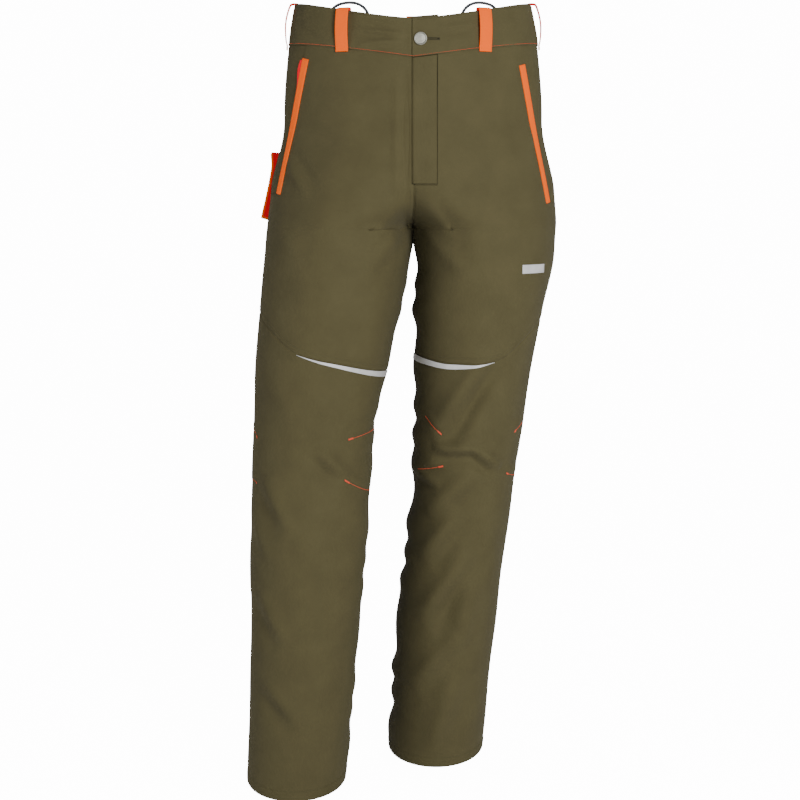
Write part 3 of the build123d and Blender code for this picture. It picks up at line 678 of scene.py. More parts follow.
# ---------------------------------------------------------------- pocket mouths
# Folded orange tape bound over each slanted edge, with the pocket facing showing as a narrow line
# behind it, coloured red as painted shade of the orange in the pocket mouth.
def closed_mesh(name, points, capped=True):
    """A closed skin of rings (rings, points round, xyz in mm) with flat ends, its normals turned outwards."""
    rings, around = points.shape[:2]
    ring, corner = np.meshgrid(np.arange(rings - 1), np.arange(around), indexing="ij")
    ring, corner = ring.ravel(), corner.ravel()
    nxt = (corner + 1) % around
    faces = np.stack([ring * around + corner, ring * around + nxt,
                      (ring + 1) * around + nxt, (ring + 1) * around + corner], 1)
    flat = points.reshape(-1, 3) / 1000
    quad = flat[faces]
    middle = np.repeat(points.mean(1) / 1000, around, 0)[faces].mean(1)
    normal = np.cross(quad[:, 2] - quad[:, 0], quad[:, 3] - quad[:, 1])
    inward = (normal * (quad.mean(1) - middle)).sum() < 0
    ends = [list(range(around))[::-1], [(rings - 1) * around + i for i in range(around)]] if capped else []
    if inward:
        faces, ends = faces[:, ::-1], [end[::-1] for end in ends]
    mesh = bpy.data.meshes.new(name)
    mesh.from_pydata(flat.tolist(), [], faces.tolist() + ends)
    round_way = np.concatenate([np.zeros((rings, 1)),
        np.cumsum(np.linalg.norm(np.diff(points, axis=1), axis=-1), 1)], 1)
    long_way = np.concatenate([[0], np.cumsum(np.linalg.norm(np.diff(points.mean(1), axis=0), axis=-1))])
    uv = np.stack([round_way, np.repeat(long_way[:, None], around, 1)], -1).reshape(-1, 2) / 1000
    vertex = np.empty(len(mesh.loops), np.int32)
    mesh.loops.foreach_get("vertex_index", vertex)
    mesh.uv_layers.new(name="cloth").data.foreach_set("uv", uv[vertex].astype(np.float32).ravel())
    mesh.shade_smooth()
    return mesh


def strap_rings(centres, wide, thick, half_width, half_thick, corners=28, square=5.0):
    """Rings of a soft-edged strap: a squared ellipse with half_width along wide and half_thick along thick,
    carried through the centres."""
    angle = np.linspace(0, 2 * np.pi, corners, endpoint=False)
    over_w = np.sign(np.cos(angle)) * np.abs(np.cos(angle)) ** (2 / square)
    over_t = np.sign(np.sin(angle)) * np.abs(np.sin(angle)) ** (2 / square)
    half_width = np.broadcast_to(half_width, centres.shape[:1])[:, None, None]
    return (centres[:, None] + wide[:, None] * half_width * over_w[None, :, None]
            + thick[:, None] * half_thick * over_t[None, :, None])


def unit(vectors):
    """The vectors at length 1."""
    return vectors / np.linalg.norm(vectors, axis=-1, keepdims=True)


# The orange tape's own colour, with a painted glow of 0.5, a constant emission that keeps it bright in shade.
ORANGE = woven("orange_tape", paint(232, 92, 0), paint(220, 80, 0), spacing=0.0009, roughness=0.62,
    patch=60.0, bump=0.0001, sheen=0.0, glow=0.5)
# Red is painted shade: it stands for the orange cloth in shade on the pocket facings, the belt loops'
# undersides and the rear flap, and it carries the same painted glow.
RED = woven("red_cloth", paint(232, 4, 30), paint(206, 2, 24), spacing=0.0009, roughness=0.62, patch=60.0,
    bump=0.0001, sheen=0.0, glow=0.5)
TAPE_WIDTH = {"right": (8.0, 5.4), "left": (8.0, 5.4)}
for side, sign in OUTWARD.items():
    (top_x, top_z), (foot_x, foot_z) = POCKET[side]
    run = np.linspace(0, 1, 90)
    z = top_z + (foot_z - top_z) * run
    mouth_u = across(side, pocket_x(side, z), z)
    first, last = TAPE_WIDTH[side]
    half_width = (first + (last - first) * run) / 2
    normal = outwards(side, mouth_u, z)
    edge = on_cloth(side, mouth_u, z, 0.25)
    down = unit(np.gradient(edge, axis=0))
    inboard = unit(np.cross(down, normal))
    inboard = inboard * np.sign((inboard[:, :1] * -sign))
    half_width = half_width / np.abs(inboard[:, 0])
    centres = edge + inboard * (half_width - 0.8)[:, None]
    tape = add_piece(
        f"pocket_tape_{side}",
        closed_mesh(f"pocket_tape_{side}", strap_rings(centres, inboard, normal, half_width, 0.95)), ORANGE,
    )
    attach(tape, "seat")
    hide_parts(f"pocket_binding_{side}")

for side, sign in OUTWARD.items():
    (top_x, top_z), (foot_x, foot_z) = POCKET[side]
    run = np.linspace(0, 1, 80)[:, None]
    z = top_z - 2 + (foot_z + 3 - top_z + 2) * run
    mouth_u = across(side, pocket_x(side, z), z)
    gape = 4.6 * np.exp(-(((run - 0.06) / 0.10) ** 2)) + 1.7 if side == "right" else 1.5 + 1.5 * run * (
        1 - run)
    spread = np.linspace(-1, 1, 9)[None, :]
    u = mouth_u + np.where(spread < 0, spread * gape, spread * 9.0) / 150
    lift = 0.3 - 1.9 * smooth((spread + 0.6) / 1.2) - 0.6
    grid_z = z + 0 * u
    points = worn(side, u, grid_z, drape(side, u, grid_z) - lift)
    # Painted shade: the facing takes the red cloth for the orange in the shade of the pocket mouth.
    facing = cloth_piece(f"pocket_facing_{side}", points, outwards(side, u, grid_z), RED, 0.5)
    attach(facing, "seat")
    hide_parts("pocket_facings")


# ---------------------------------------------------------------- pocket bags
# Thin dark pocketing hanging inside each front from the waist seam, its lower
# edge rounded, flat against the inside of the panel.
LINING = woven("dark_mesh_lining", paint(74, 72, 58), paint(48, 47, 38), 0.0024, 0.8, 30.0, 0.0002, 0.1)
for side in OUTWARD:
    share = np.linspace(0, 1, 40)[:, None]
    u = 0.03 + 0.62 * np.linspace(0, 1, 40)[None, :]
    round_foot = 34 * np.abs(u / 0.34 - 1) ** 3
    z = -96 + (-292 + round_foot + 96) * share
    points = worn(side, u, z, drape(side, u, z) + 3.2)
    bag = cloth_piece(f"pocket_bag_{side}", points, outwards(side, u, z), LINING, 0.5)
    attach(bag, "seat")
    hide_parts("pocket_bags")


# ---------------------------------------------------------------- back panels
# The seat and the back of each thigh in one piece, from the back waist seam to
# the height of the knee seam.
for side in OUTWARD:
    u = -np.concatenate([0.5 * eased(60)[:-1], 0.5 + 0.5 * eased(60)])[None, :]
    z, turned_in = upper_rows(side, u, False)
    points = worn(side, u, z, drape(side, u, z) + turned_in)
    panel = cloth_piece(f"back_panel_{side}", points, outwards(side, u, z), OLIVE, CLOTH_T)
    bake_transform(panel)
    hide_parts(f"seat_back_{side}", f"thigh_back_{side}")


# ---------------------------------------------------------------- lower legs
# Shaped knee and shin in one piece in front, calf behind, with a turned hem.
# Two darts from each side of the knee take in the pre-bent shape.
HEM_DEPTH = 14
DARTS = {
    "right": [(-54, -585, -88, -590), (-60, -670, -94, -645), (-222, -582, -215, -592),
        (-225, -653, -217, -655)],
    "left": [(18, -564, 39, -587), (10, -642, 41, -632), (153, -576, 140, -587), (146, -655, 131, -646)],
}


def dart_tuck(side, u, z):
    """The cloth taken in along each dart: a narrow hollow on the line and a soft swell above it."""
    x = worn(side, u, z)[..., 0]
    lines = [(x1, z1, x2, z2, 3.0, -1.0) for x1, z1, x2, z2 in DARTS[side]]
    lines += [(x1, z1 + 7, x2, z2 + 7, 6.0, 1.4) for x1, z1, x2, z2 in DARTS[side]]
    return np.where(u >= 0, creases(x, z, lines), 0)


def lower_panel(side, u):
    """Grid from the knee seam to the hem, doubled outwards a little where the hem is turned."""
    top, low = knee_seam(side, u), hem_height(side, u)
    share = np.concatenate([0.06 * eased(16)[:-1], 0.06 + 0.88 * np.linspace(0, 1, 170)[:-1],
        0.94 + 0.06 * eased(22)])
    z = top + (low - top) * share[:, None]
    turned_in = 0.9 * np.exp(-(((top - z) / 2.0) ** 2))
    hem = -0.7 * smooth((HEM_DEPTH + low - z) / 1.6) + 0.9 * np.exp(-(((z - low) / 1.0) ** 2))
    both = np.broadcast_to(u, z.shape)
    return both, z, worn(side, both, z, drape(side, both, z) - dart_tuck(side, both, z) + turned_in + hem)


for side in OUTWARD:
    for name, way, nodes in (
        ("knee_and_shin", 1, (f"knee_panel_{side}", f"shin_panel_{side}")),
        ("calf", -1, (f"calf_back_{side}", f"knee_hollow_{side}")),
    ):
        u, z, points = lower_panel(side, way * eased(110, 1.4)[None, :])
        panel = cloth_piece(f"{name}_{side}", points, outwards(side, u, z), OLIVE, CLOTH_T)
        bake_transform(panel)
        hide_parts(*nodes)


# ---------------------------------------------------------------- reflective strips
# Silver retroreflective film let into each knee seam, tapering to a point
# outwards, and a plain bar of the same film on the left thigh.
def film_finish():
    """Retroreflective film: pale grey glass-bead surface with a fine beaded relief and soft patches."""
    material = bpy.data.materials.new("reflective_film")
    material.use_nodes = True
    nodes, link = material.node_tree.nodes, material.node_tree.links.new
    shader = nodes["Principled BSDF"]
    place, beads, patch = (nodes.new(kind) for kind in ("ShaderNodeTexCoord", "ShaderNodeTexVoronoi",
        "ShaderNodeTexNoise"))
    beads.inputs["Scale"].default_value = 1500
    patch.inputs["Scale"].default_value = 60
    for texture in (beads, patch):
        link(place.outputs["Object"], texture.inputs["Vector"])
    shade = nodes.new("ShaderNodeMix")
    shade.data_type = "RGBA"
    shade.inputs["A"].default_value = paint(196, 195, 194)
    shade.inputs["B"].default_value = paint(232, 231, 230)
    link(patch.outputs["Fac"], shade.inputs["Factor"])
    link(shade.outputs["Result"], shader.inputs["Base Color"])
    relief = nodes.new("ShaderNodeBump")
    relief.inputs["Distance"].default_value = 0.0001
    relief.inputs["Strength"].default_value = 0.4
    link(beads.outputs["Distance"], relief.inputs["Height"])
    link(relief.outputs["Normal"], shader.inputs["Normal"])
    shader.inputs["Roughness"].default_value = 0.38
    shader.inputs["Metallic"].default_value = 0.15
    return material


FILM = film_finish()
STRIP = {
    "right": ([(-157, -472.4), (-128, -480), (-98, -486.3), (-60, -496.2), (-36, -502.6)],
              [(-157, -472.8), (-128, -483), (-98, -491.4), (-60, -503.4), (-36, -511.4)]),
    "left": ([(3, -479.6), (14, -482.4), (48, -487.4), (80, -487.4), (111, -484.4)],
             [(3, -488.6), (14, -490.6), (48, -494.4), (80, -491.8), (111, -484.9)]),
}
for side in OUTWARD:
    upper, lower = (np.array(edge, float) for edge in STRIP[side])
    x = np.linspace(upper[0, 0], upper[-1, 0], 90)[None, :]
    top = through(upper[:, 0], upper[:, 1:], x)[..., 0]
    low = through(lower[:, 0], lower[:, 1:], x)[..., 0]
    z = top + (low - top) * np.linspace(0, 1, 9)[:, None]
    u = np.minimum(across(side, x + 0 * z, z), 1)
    points = on_cloth(side, u, z, 0.7)
    strip = cloth_piece(f"reflective_film_{side}", points, outwards(side, u, z), FILM, 0.4)
    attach(strip, f"thigh_{side}")
    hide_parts(f"reflective_strip_{side}")

x = np.linspace(146, 178, 30)[None, :]
z = np.linspace(-352, -364, 10)[:, None] + 0 * x
u = across("left", x + 0 * z, z)
bar = cloth_piece("thigh_bar", on_cloth("left", u, z, 0.5), outwards("left", u, z), FILM, 0.3)
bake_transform(bar)
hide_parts("thigh_patch")


# ---------------------------------------------------------------- waistband
# Two layers of the olive cloth folded over a stiffener: the left front laps over
# the right, and the back is gathered on a wide elastic.
def waist(turn, z, inset=0.0):
    """A point round the waist: turn is 0 at the front centre, a quarter turn at the wearer's left side."""
    _, half_width, half_depth, centre_y = girth("left", z)
    x = (half_width - inset) * np.sin(turn)
    return np.stack([x, centre_y - (half_depth - inset) * np.cos(turn), z + 0 * x], -1)


def band_edge(x, side_z, centre_z):
    """Height of a band edge at x, from the centre to the side: a straight line, or for the front's top edge
    a power of x's share of the way, which keeps it low for longer beside the centre."""
    share = np.minimum(np.abs(x) / BAND_REACH, 1)
    dip = 1.4 if side_z == 0 and centre_z < -20 else 1.0
    return centre_z + (side_z - centre_z) * share**dip


BAND_FOLDS = [
    (-80, -42, -6, -51, 3.5, 2.4), (-74, -63, -12, -57, 4, 2.2), (-60, -33, -20, -40, 3, 1.7),
    (-150, -30, -112, -52, 5, 1.4), (36, -42, 82, -36, 4, 1.5), (110, -40, 150, -24, 5, 0.8),
    (-6, -36, -2, -78, 3, 0.6), (44, -60, 84, -54, 5, 0.7), (-165, -20, -140, -14, 4, 0.8),
]
OUTER, INNER = -0.7, 1.9


def band_rings(turns, top_edge, foot_edge):
    """Closed rings of the folded band at each turn: up the outer face, over the fold, down the inner face."""
    turns = turns[:, None]
    up = np.linspace(0.03, 0.97, 26)
    share = np.concatenate([up, [0.995, 1.0, 0.995], up[::-1][::2], [0.005, 0.0, 0.005]])[None, :]
    inset = np.concatenate([OUTER + 0 * up, [-0.2, 0.6, 1.4], INNER + 0 * up[::2], [1.4, 0.6, -0.2]])[None, :]
    x = waist(turns, -40 + 0 * turns)[..., 0]
    top, foot = band_edge(x, *top_edge), band_edge(x, *foot_edge)
    z = foot + (top - foot) * share
    behind = smooth((np.abs(turns) - 1.45) / 0.25)
    beside = np.exp(-(((np.abs(turns) - 1.5) / 0.28) ** 2))
    gather = behind * 0.9 * np.sin(turns * 62 + np.sin(share * 5)) + beside * 0.7 * np.sin(
        turns * 31 + 4 * share)
    soft = gather * np.sin(np.pi * share) ** 0.5 + 0.4 * np.sin(turns * 9 + 3 * share)
    front = np.cos(turns) > 0
    soft = soft + np.where(front, creases(x + 0 * z, z, BAND_FOLDS), 0)
    return waist(turns, z, inset - soft)


SIDE_TURN = np.pi / 2
lap = np.arcsin(FLY_EDGE / 168)
BANDS = {
    "waistband_right": (-SIDE_TURN, lap - 0.004, (0, -29), (WAIST_SIDE, WAIST_FRONT),
        "waistband_front_right"),
    "waistband_left": (lap, SIDE_TURN, (0, -29), (WAIST_SIDE, WAIST_FRONT), "waistband_front_left"),
    "waistband_rear": (SIDE_TURN + 0.004, 3 * SIDE_TURN - 0.004, (0, -8), (WAIST_SIDE, WAIST_BACK),
    "waistband_back"),
}
for name, (first, last, top_edge, foot_edge, node) in BANDS.items():
    turns = np.linspace(first, last, int(abs(last - first) * 110))
    if name == "waistband_rear":
        turns = np.where(turns > np.pi, turns - 2 * np.pi, turns)
    rings = band_rings(turns, top_edge, foot_edge)
    band = add_piece(name, closed_mesh(name, rings), OLIVE)
    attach(band, "seat")
    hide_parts(node)

x = np.linspace(-25, 33, 40)[None, :]
z = (-75 + (np.interp(x, [-25, 2, 33], [-31, -26.6, -24]) + 75) * np.linspace(1, 0, 34)[:, None])
points = waist(np.arcsin(x / 167) + 0 * z, z, 2.6 + 0.3 * np.sin(z / 9))
FORWARD = np.array([0.0, -1.0, 0.0])
underlap = cloth_piece("waistband_underlap", points, FORWARD, OLIVE, 1.5)
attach(underlap, "seat")

ELASTIC = woven("black_elastic", paint(52, 52, 54), paint(24, 24, 26), 0.003, 0.7, 60.0, 0.0004, 0.1)
turns = np.linspace(np.pi - 0.85, np.pi + 0.85, 220)[None, :]
z = np.linspace(-14, -54, 26)[:, None]
ribs = 0.35 * np.sin(turns * 150) + 0.25 * np.sin(z * 1.6)
elastic = cloth_piece("rear_elastic", waist(turns + 0 * z, z + 0 * turns, 2.7 + ribs),
    np.stack([np.sin(turns + 0 * z), -np.cos(turns + 0 * z), 0 * (turns + z)], -1), ELASTIC, 1.2)
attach(elastic, "seat")
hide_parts("back_elastic")


# ---------------------------------------------------------------- belt loops
# Seven loops of orange tape, the half of each facing the waistband given the red cloth as painted
# shade, sewn over the top edge of the waistband and just below its seam, standing off between.
LOOP_WIDTH, LOOP_T = 18.0, 1.6


def rounded(points, times=3):
    """The line with its corners cut at a quarter of each run, times over, its ends kept."""
    for _ in range(times):
        near, far = 0.75 * points[:-1] + 0.25 * points[1:], 0.25 * points[:-1] + 0.75 * points[1:]
        points = np.concatenate([points[:1], np.stack([near, far], 1).reshape(-1, points.shape[1]),
            points[-1:]])
    return points


def facing_point(way, z):
    """The point of the waist at height z that faces the level direction way."""
    _, half_width, half_depth, centre_y = girth("left", z)
    span = np.hypot(half_width * way[0], half_depth * way[1])
    return np.array([half_width**2 * way[0] / span, centre_y + half_depth**2 * way[1] / span, float(z)])


def loop_rings(degrees, front, stand_off):
    """Rings of one belt loop: over the top edge, out and down to the stitched foot."""
    turn = np.radians(degrees)
    way = np.array([np.sin(turn), -np.cos(turn), 0.0])
    root = facing_point(way, 0)
    top_z = band_edge(root[0], 0, -29 if front else -8)
    foot_z = band_edge(root[0], WAIST_SIDE, WAIST_FRONT if front else WAIST_BACK) - 4

    def off(z, extra=0.0):
        """The strap's (distance out from its root, height) at z, 1.8 mm and extra off the cloth."""
        return ((facing_point(way, z) - root) @ way + 1.8 + extra, z)

    edge, middle = top_z + 2.6, top_z - 22
    back = off(top_z)[0] - 5.6
    line = np.array([
        (back, top_z - 3), (back, edge - 1.4), (back + 0.6, edge), off(edge, 0.35 * stand_off),
        off(edge - 2, 0.75 * stand_off),
        off(middle, stand_off), off(foot_z + 12, 0.35 * stand_off), off(foot_z + 6), off(foot_z),
    ])
    line = rounded(line, 3)
    centres = root[None, :] * [1, 1, 0] + way * line[:, :1] + np.array([0, 0, 1.0]) * line[:, 1:]
    along = unit(np.gradient(centres, axis=0))
    wide = np.cross(way, [0, 0, 1.0])
    wide = np.broadcast_to(wide, centres.shape)
    thick = unit(np.cross(along, wide))
    thick = thick * np.where((thick @ way + 0.2 * thick[:, 2]).mean() > 0, 1, -1)
    return strap_rings(centres, wide, thick, LOOP_WIDTH / 2, LOOP_T / 2), centres, wide, thick


LOOPS = {
    "belt_loop_front_right": ((-24,), True, 5), "belt_loop_front_left": ((24,), True, 5),
    "belt_loops_side": ((-88, 88), True, 8), "belt_loops_back": ((-157, 180, 157), False, 5),
}
loop_stitch_lines = []
for node, (bearings, front, stand_off) in LOOPS.items():
    for degrees in bearings:
        rings, centres, wide, thick = loop_rings(degrees, front, stand_off)
        label = node if len(bearings) == 1 else f"{node}_{degrees % 360}"
        loop = add_piece(f"tape_{label}", closed_mesh(f"tape_{label}", rings), ORANGE)
        # Painted shade: the half of each ring that faces the waistband takes the red cloth.
        loop.data.materials.append(RED)
        around = rings.shape[1]
        under = np.arange(len(loop.data.polygons)) % around
        index = np.where((under > around * 0.5) & (
            np.arange(len(loop.data.polygons)) < (len(rings) - 1) * around), 1, 0)
        loop.data.polygons.foreach_set("material_index", index.astype(np.int32))
        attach(loop, "seat")
        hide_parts(node)
        for offset in (-6.6, 6.6):
            loop_stitch_lines.append((centres + wide * offset + thick * (LOOP_T / 2 + 0.05), thick))


# ---------------------------------------------------------------- fly
# The fly overlap is a doubled facing that opens on its J-shaped stitch line. It
# covers a coil zip on woven tapes, with a cloth shield behind.
share_x = np.concatenate([0.2 * eased(10)[:-1], 0.2 + 0.8 * eased(30)])[None, :]
x = FLY_EDGE + (FLY_STITCH - 0.4 - FLY_EDGE) * share_x
top = band_edge(x, WAIST_SIDE, WAIST_FRONT) - 0.9
z = top + (FLY_FOOT + 0.6 - top) * eased(90)[:, None]
u = across("left", x + 0 * z, z)
roll = 1.1 * np.exp(-(((x - FLY_EDGE) / 1.2) ** 2)) - 1.3 * np.exp(-(((x - FLY_EDGE - 4) / 6.0) ** 2))
points = worn("left", u, z, -0.55 + roll + 0.25 * np.sin(z / 27) + 0.5 * smooth((x - 20) / 11))
overlap = cloth_piece("fly_overlap", points, FORWARD, OLIVE, 1.7)
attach(overlap, "fly_placket")
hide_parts("fly_placket")

x = np.linspace(-16, 9, 24)[None, :]
z = np.linspace(-79, -243, 60)[:, None] + 0 * x
u = across("right", np.minimum(x, 60) + 0 * z, z)
under = cloth_piece("fly_underlay", worn("right", u, z, 2.3 + 0.25 * np.sin(z / 21)),
    FORWARD, OLIVE, 1.0)
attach(under, "seat")

ZIP_ORIGIN = np.array([12.0, -99.668, -84.572])
ZIP_UP, ZIP_OUT = np.array([0, 0.077235, 0.997013]), np.array([0, -0.997013, 0.077235])
TRACK_TOP, TRACK_LONG = -6.0, 138.0


def on_zip(x, y, out):
    """A point on the leaning plane of the zip."""
    x, y, out = np.broadcast_arrays(x, y, out)
    return ZIP_ORIGIN + np.stack([x, 0 * x, 0 * x], -1) + y[..., None] * ZIP_UP + out[..., None] * ZIP_OUT


ZIP_CLOTH = woven("olive_zip_tape", paint(92, 88, 60), paint(60, 57, 38), 0.0016, 0.7, 40.0, 0.0002)
for sign in (-1, 1):
    x = sign * (3.3 + np.linspace(0, 11, 12))[None, :]
    y = np.linspace(TRACK_TOP + 6, TRACK_TOP - TRACK_LONG - 6, 90)[:, None]
    wave = 0.25 * np.sin(y / 7 + sign) * smooth((np.abs(x) - 4) / 8)
    label = "right" if sign < 0 else "left"
    tape = cloth_piece(f"zip_tape_{label}", on_zip(x, y, 0.3 + wave), ZIP_OUT, ZIP_CLOTH, 0.6)
    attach(tape, "seat")
    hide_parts("zip_tapes")
    turns, steps = 92, 10
    angle = np.linspace(0, 2 * np.pi * turns, turns * steps)
    lead = TRACK_TOP - TRACK_LONG * angle / angle[-1]
    path = on_zip(sign * 2.0 + 1.15 * np.cos(angle), lead, 0.85 * np.sin(angle))
    tangent = unit(np.gradient(path, axis=0))
    side_way = unit(np.cross(tangent, ZIP_UP))
    coil = strap_rings(path, side_way, unit(np.cross(tangent, side_way)), 0.3, 0.3, 6, 2.0)
    coil_piece = add_piece(f"zip_coil_{label}", closed_mesh(f"zip_coil_{label}", coil), ZIP_CLOTH)
    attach(coil_piece, "seat")
    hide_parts("zip_coils")

x = np.linspace(-24, 18, 30)[None, :]
y = np.linspace(TRACK_TOP + 7, TRACK_TOP - TRACK_LONG - 7, 70)[:, None]
shield = cloth_piece("fly_backing", on_zip(x, y, -2.9 + 0.3 * np.sin(y / 17) * np.cos(x / 9)), ZIP_OUT,
    OLIVE, 0.8)
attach(shield, "seat")
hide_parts("fly_shield")


def metal_finish(name, light, dark, roughness, scale):
    """Pressed metal, tumbled dull: fine brushed noise in colour and roughness."""
    material = bpy.data.materials.new(name)
    material.use_nodes = True
    nodes, link = material.node_tree.nodes, material.node_tree.links.new
    shader = nodes["Principled BSDF"]
    place, grain = nodes.new("ShaderNodeTexCoord"), nodes.new("ShaderNodeTexNoise")
    link(place.outputs["Object"], grain.inputs["Vector"])
    grain.inputs["Scale"].default_value = scale
    grain.inputs["Detail"].default_value = 4
    shade, rough = nodes.new("ShaderNodeMix"), nodes.new("ShaderNodeMapRange")
    shade.data_type = "RGBA"
    shade.inputs["A"].default_value, shade.inputs["B"].default_value = dark, light
    link(grain.outputs["Fac"], shade.inputs["Factor"])
    link(grain.outputs["Fac"], rough.inputs["Value"])
    rough.inputs["To Min"].default_value, rough.inputs[
        "To Max"].default_value = roughness - 0.08, roughness + 0.1
    link(shade.outputs["Result"], shader.inputs["Base Color"])
    link(rough.outputs["Result"], shader.inputs["Roughness"])
    relief = nodes.new("ShaderNodeBump")
    relief.inputs["Distance"].default_value = 0.00008
    relief.inputs["Strength"].default_value = 0.5
    link(grain.outputs["Fac"], relief.inputs["Height"])
    link(relief.outputs["Normal"], shader.inputs["Normal"])
    shader.inputs["Metallic"].default_value = 0.85
    return material


ZIP_METAL = metal_finish("zip_metal_finish", paint(178, 158, 112), paint(128, 112, 76), 0.42, 900)
for node in ("zip_slider", "zip_pull", "zip_stops"):
    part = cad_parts[node]
    for place in part.material_slots:
        place.material = ZIP_METAL


# ---------------------------------------------------------------- waist button
# A pressed shank button: plain dished face with a rolled rim, turning on a tack
# riveted through the underlap, in a keyhole buttonhole worked in olive thread.
BUTTON_X, BUTTON_Y, BUTTON_Z = 9.0, -105.53, -56.0
PROFILE = np.array([
    (0.05, 3.05), (1.6, 3.05), (3.0, 3.0), (3.4, 2.86), (3.8, 3.0), (5.4, 2.9), (6.5, 2.85), (6.9, 3.2),
    (7.5, 3.75),
    (8.0, 3.7), (8.45, 3.2), (8.5, 2.5), (8.2, 1.8), (7.4, 1.55), (4.0, 1.52), (2.5, 1.5), (0.05, 1.5),
])
spin = np.linspace(0, 2 * np.pi, 64, endpoint=False)
profile = rounded(PROFILE, 2)
rings = np.stack([
    BUTTON_X + profile[:, :1] * np.cos(spin), BUTTON_Y - profile[:, 1:] + 0 * spin,
    BUTTON_Z + profile[:, :1] * np.sin(spin),
], -1)
STEEL = metal_finish("button_steel", paint(172, 171, 160), paint(136, 135, 124), 0.46, 500)
cap = add_piece("waist_button_cap", closed_mesh("waist_button_cap", rings), STEEL)
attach(cap, "button_cap")
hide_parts("button_cap")
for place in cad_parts["button_tack"].material_slots:
    place.material = STEEL

THREAD_OLIVE = woven("olive_thread", paint(98, 93, 64), paint(66, 62, 42), 0.0008, 0.6, 300.0)
THREAD_DARK = woven("dark_olive_thread", paint(66, 62, 42), paint(44, 42, 28), 0.0008, 0.6, 300.0)
# Both orange threads carry a small painted glow, a constant emission that keeps them bright in shade.
THREAD_RED = woven("orange_red_thread", paint(226, 92, 66), paint(206, 70, 46), 0.0008, 0.55, 300.0, glow=0.1)
THREAD_ORANGE = woven("orange_thread", paint(238, 104, 22), paint(220, 90, 14), 0.0008, 0.55, 300.0,
    glow=0.12)


def keyhole_line(count):
    """The edge of the buttonhole: along a slit and back round the eye at its button end."""
    angle = np.linspace(0.42, 2 * np.pi - 0.42, count // 2)
    eye_x, eye_z = BUTTON_X + 3.2 * np.cos(angle), BUTTON_Z + 2.6 * np.sin(angle)
    slit = np.linspace(BUTTON_X + 3.4, BUTTON_X + 25, count // 4)
    x = np.concatenate([slit[::-1], eye_x, slit])
    z = np.concatenate([BUTTON_Z + 1.0 + 0 * slit, eye_z, BUTTON_Z - 1.0 + 0 * slit])
    return x, z


x, z = keyhole_line(96)
centres = waist(np.arcsin(x / 170), z, OUTER - 0.35)
along = unit(np.gradient(centres, axis=0))
out = np.broadcast_to([0.0, -1.0, 0.0], centres.shape)
rings = strap_rings(centres, unit(np.cross(along, out)), out, 0.75, 0.4, 10, 2.2)
worked = add_piece("buttonhole_thread", closed_mesh("buttonhole_thread", rings), THREAD_DARK)
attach(worked, "seat")
SLIT_DARK = woven("buttonhole_shadow", paint(34, 32, 22), paint(22, 21, 14), 0.0008, 0.9, 300.0)
x = np.linspace(BUTTON_X + 2, BUTTON_X + 24.6, 20)[None, :]
z = BUTTON_Z + np.linspace(0.8, -0.8, 5)[:, None] + 0 * x
slit = cloth_piece("buttonhole_slit", waist(np.arcsin(x / 170) + 0 * z, z, OUTER - 0.12),
    FORWARD, SLIT_DARK, 0.3)
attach(slit, "seat")


# ---------------------------------------------------------------- rear hip pocket
# A patch pocket on the right rear hip, under a flap that is bound in orange tape and hangs a
# little away from the hip; the flap is given the red cloth as painted shade of its orange.
POCKET_TURN, PATCH_ARC = 18.6, 137.0
share_x, share_z = np.linspace(-1, 1, 60)[None, :], np.linspace(0, 1, 80)[:, None]
corner = 8 * (np.abs(share_x) ** 12)
z = -199 + (-326 + corner * 0.8 + 199) * share_z
turn = np.radians(POCKET_TURN) + share_x * 42 / PATCH_ARC
centre_x, half_width = girth("right", z)[:2]
u = -np.maximum(turn + 0 * z, 0.03) / np.arccos(np.clip(centre_x / half_width, -1, 1))
edge = np.minimum((1 - np.abs(share_x)) * 42, np.minimum(share_z, 1 - share_z) * 127)
points = on_cloth("right", u, z, 0.3 + 1.2 * smooth(edge / 2.5) + 0.5 * np.sin(np.pi * share_z) * np.cos(
    share_x * 1.4))
patch = cloth_piece("rear_patch_pocket", points, outwards("right", u, z), OLIVE, 0.8)
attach(patch, "seat")
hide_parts("hip_pocket")

HINGE, FLAP_OUT = np.array([-184.453, 53.417, -200.0]), np.array([-0.927184, 0.374607, 0.0])
FLAP_SIDE = np.array([-0.374607, -0.927184, 0.0])
FLAP_DOWN = unit(np.array([0, 0, -1.0]) + FLAP_OUT * np.tan(np.radians(11.2)))
FLAP_W, FLAP_H, FLAP_SLANT = 70.0, 102.0, 9.0


def flap_point(across_mm, down_mm, lift):
    """A point of the flap: across and down from its hinge, curling slightly out towards the free edge, and
    bent round the hip by the square of the distance across."""
    curl = 2.2 * (down_mm / FLAP_H) ** 2 - 1.4 * np.sin(np.pi * down_mm / FLAP_H)
    curl = curl + 0.5 * np.sin(across_mm / 9 + down_mm / 21) - across_mm**2 / 400
    return (HINGE + across_mm[..., None] * FLAP_SIDE + down_mm[..., None] * FLAP_DOWN
            + (lift + curl * smooth(down_mm / 20))[..., None] * unit(np.cross(FLAP_SIDE, FLAP_DOWN) * -1))


share_x, share_z = np.linspace(-1, 1, 44)[None, :], np.linspace(0, 1, 60)[:, None]
across_mm = share_x * FLAP_W / 2 + 0 * share_z
down_mm = (FLAP_H - FLAP_SLANT * (share_x + 1) / 2) * share_z
# Painted shade: the whole flap takes the red cloth for its orange in shade.
flap = cloth_piece("rear_flap", flap_point(across_mm, down_mm, 0.4), FLAP_OUT, RED, 1.2)
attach(flap, "pocket_flap")
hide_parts("hip_pocket_flap")

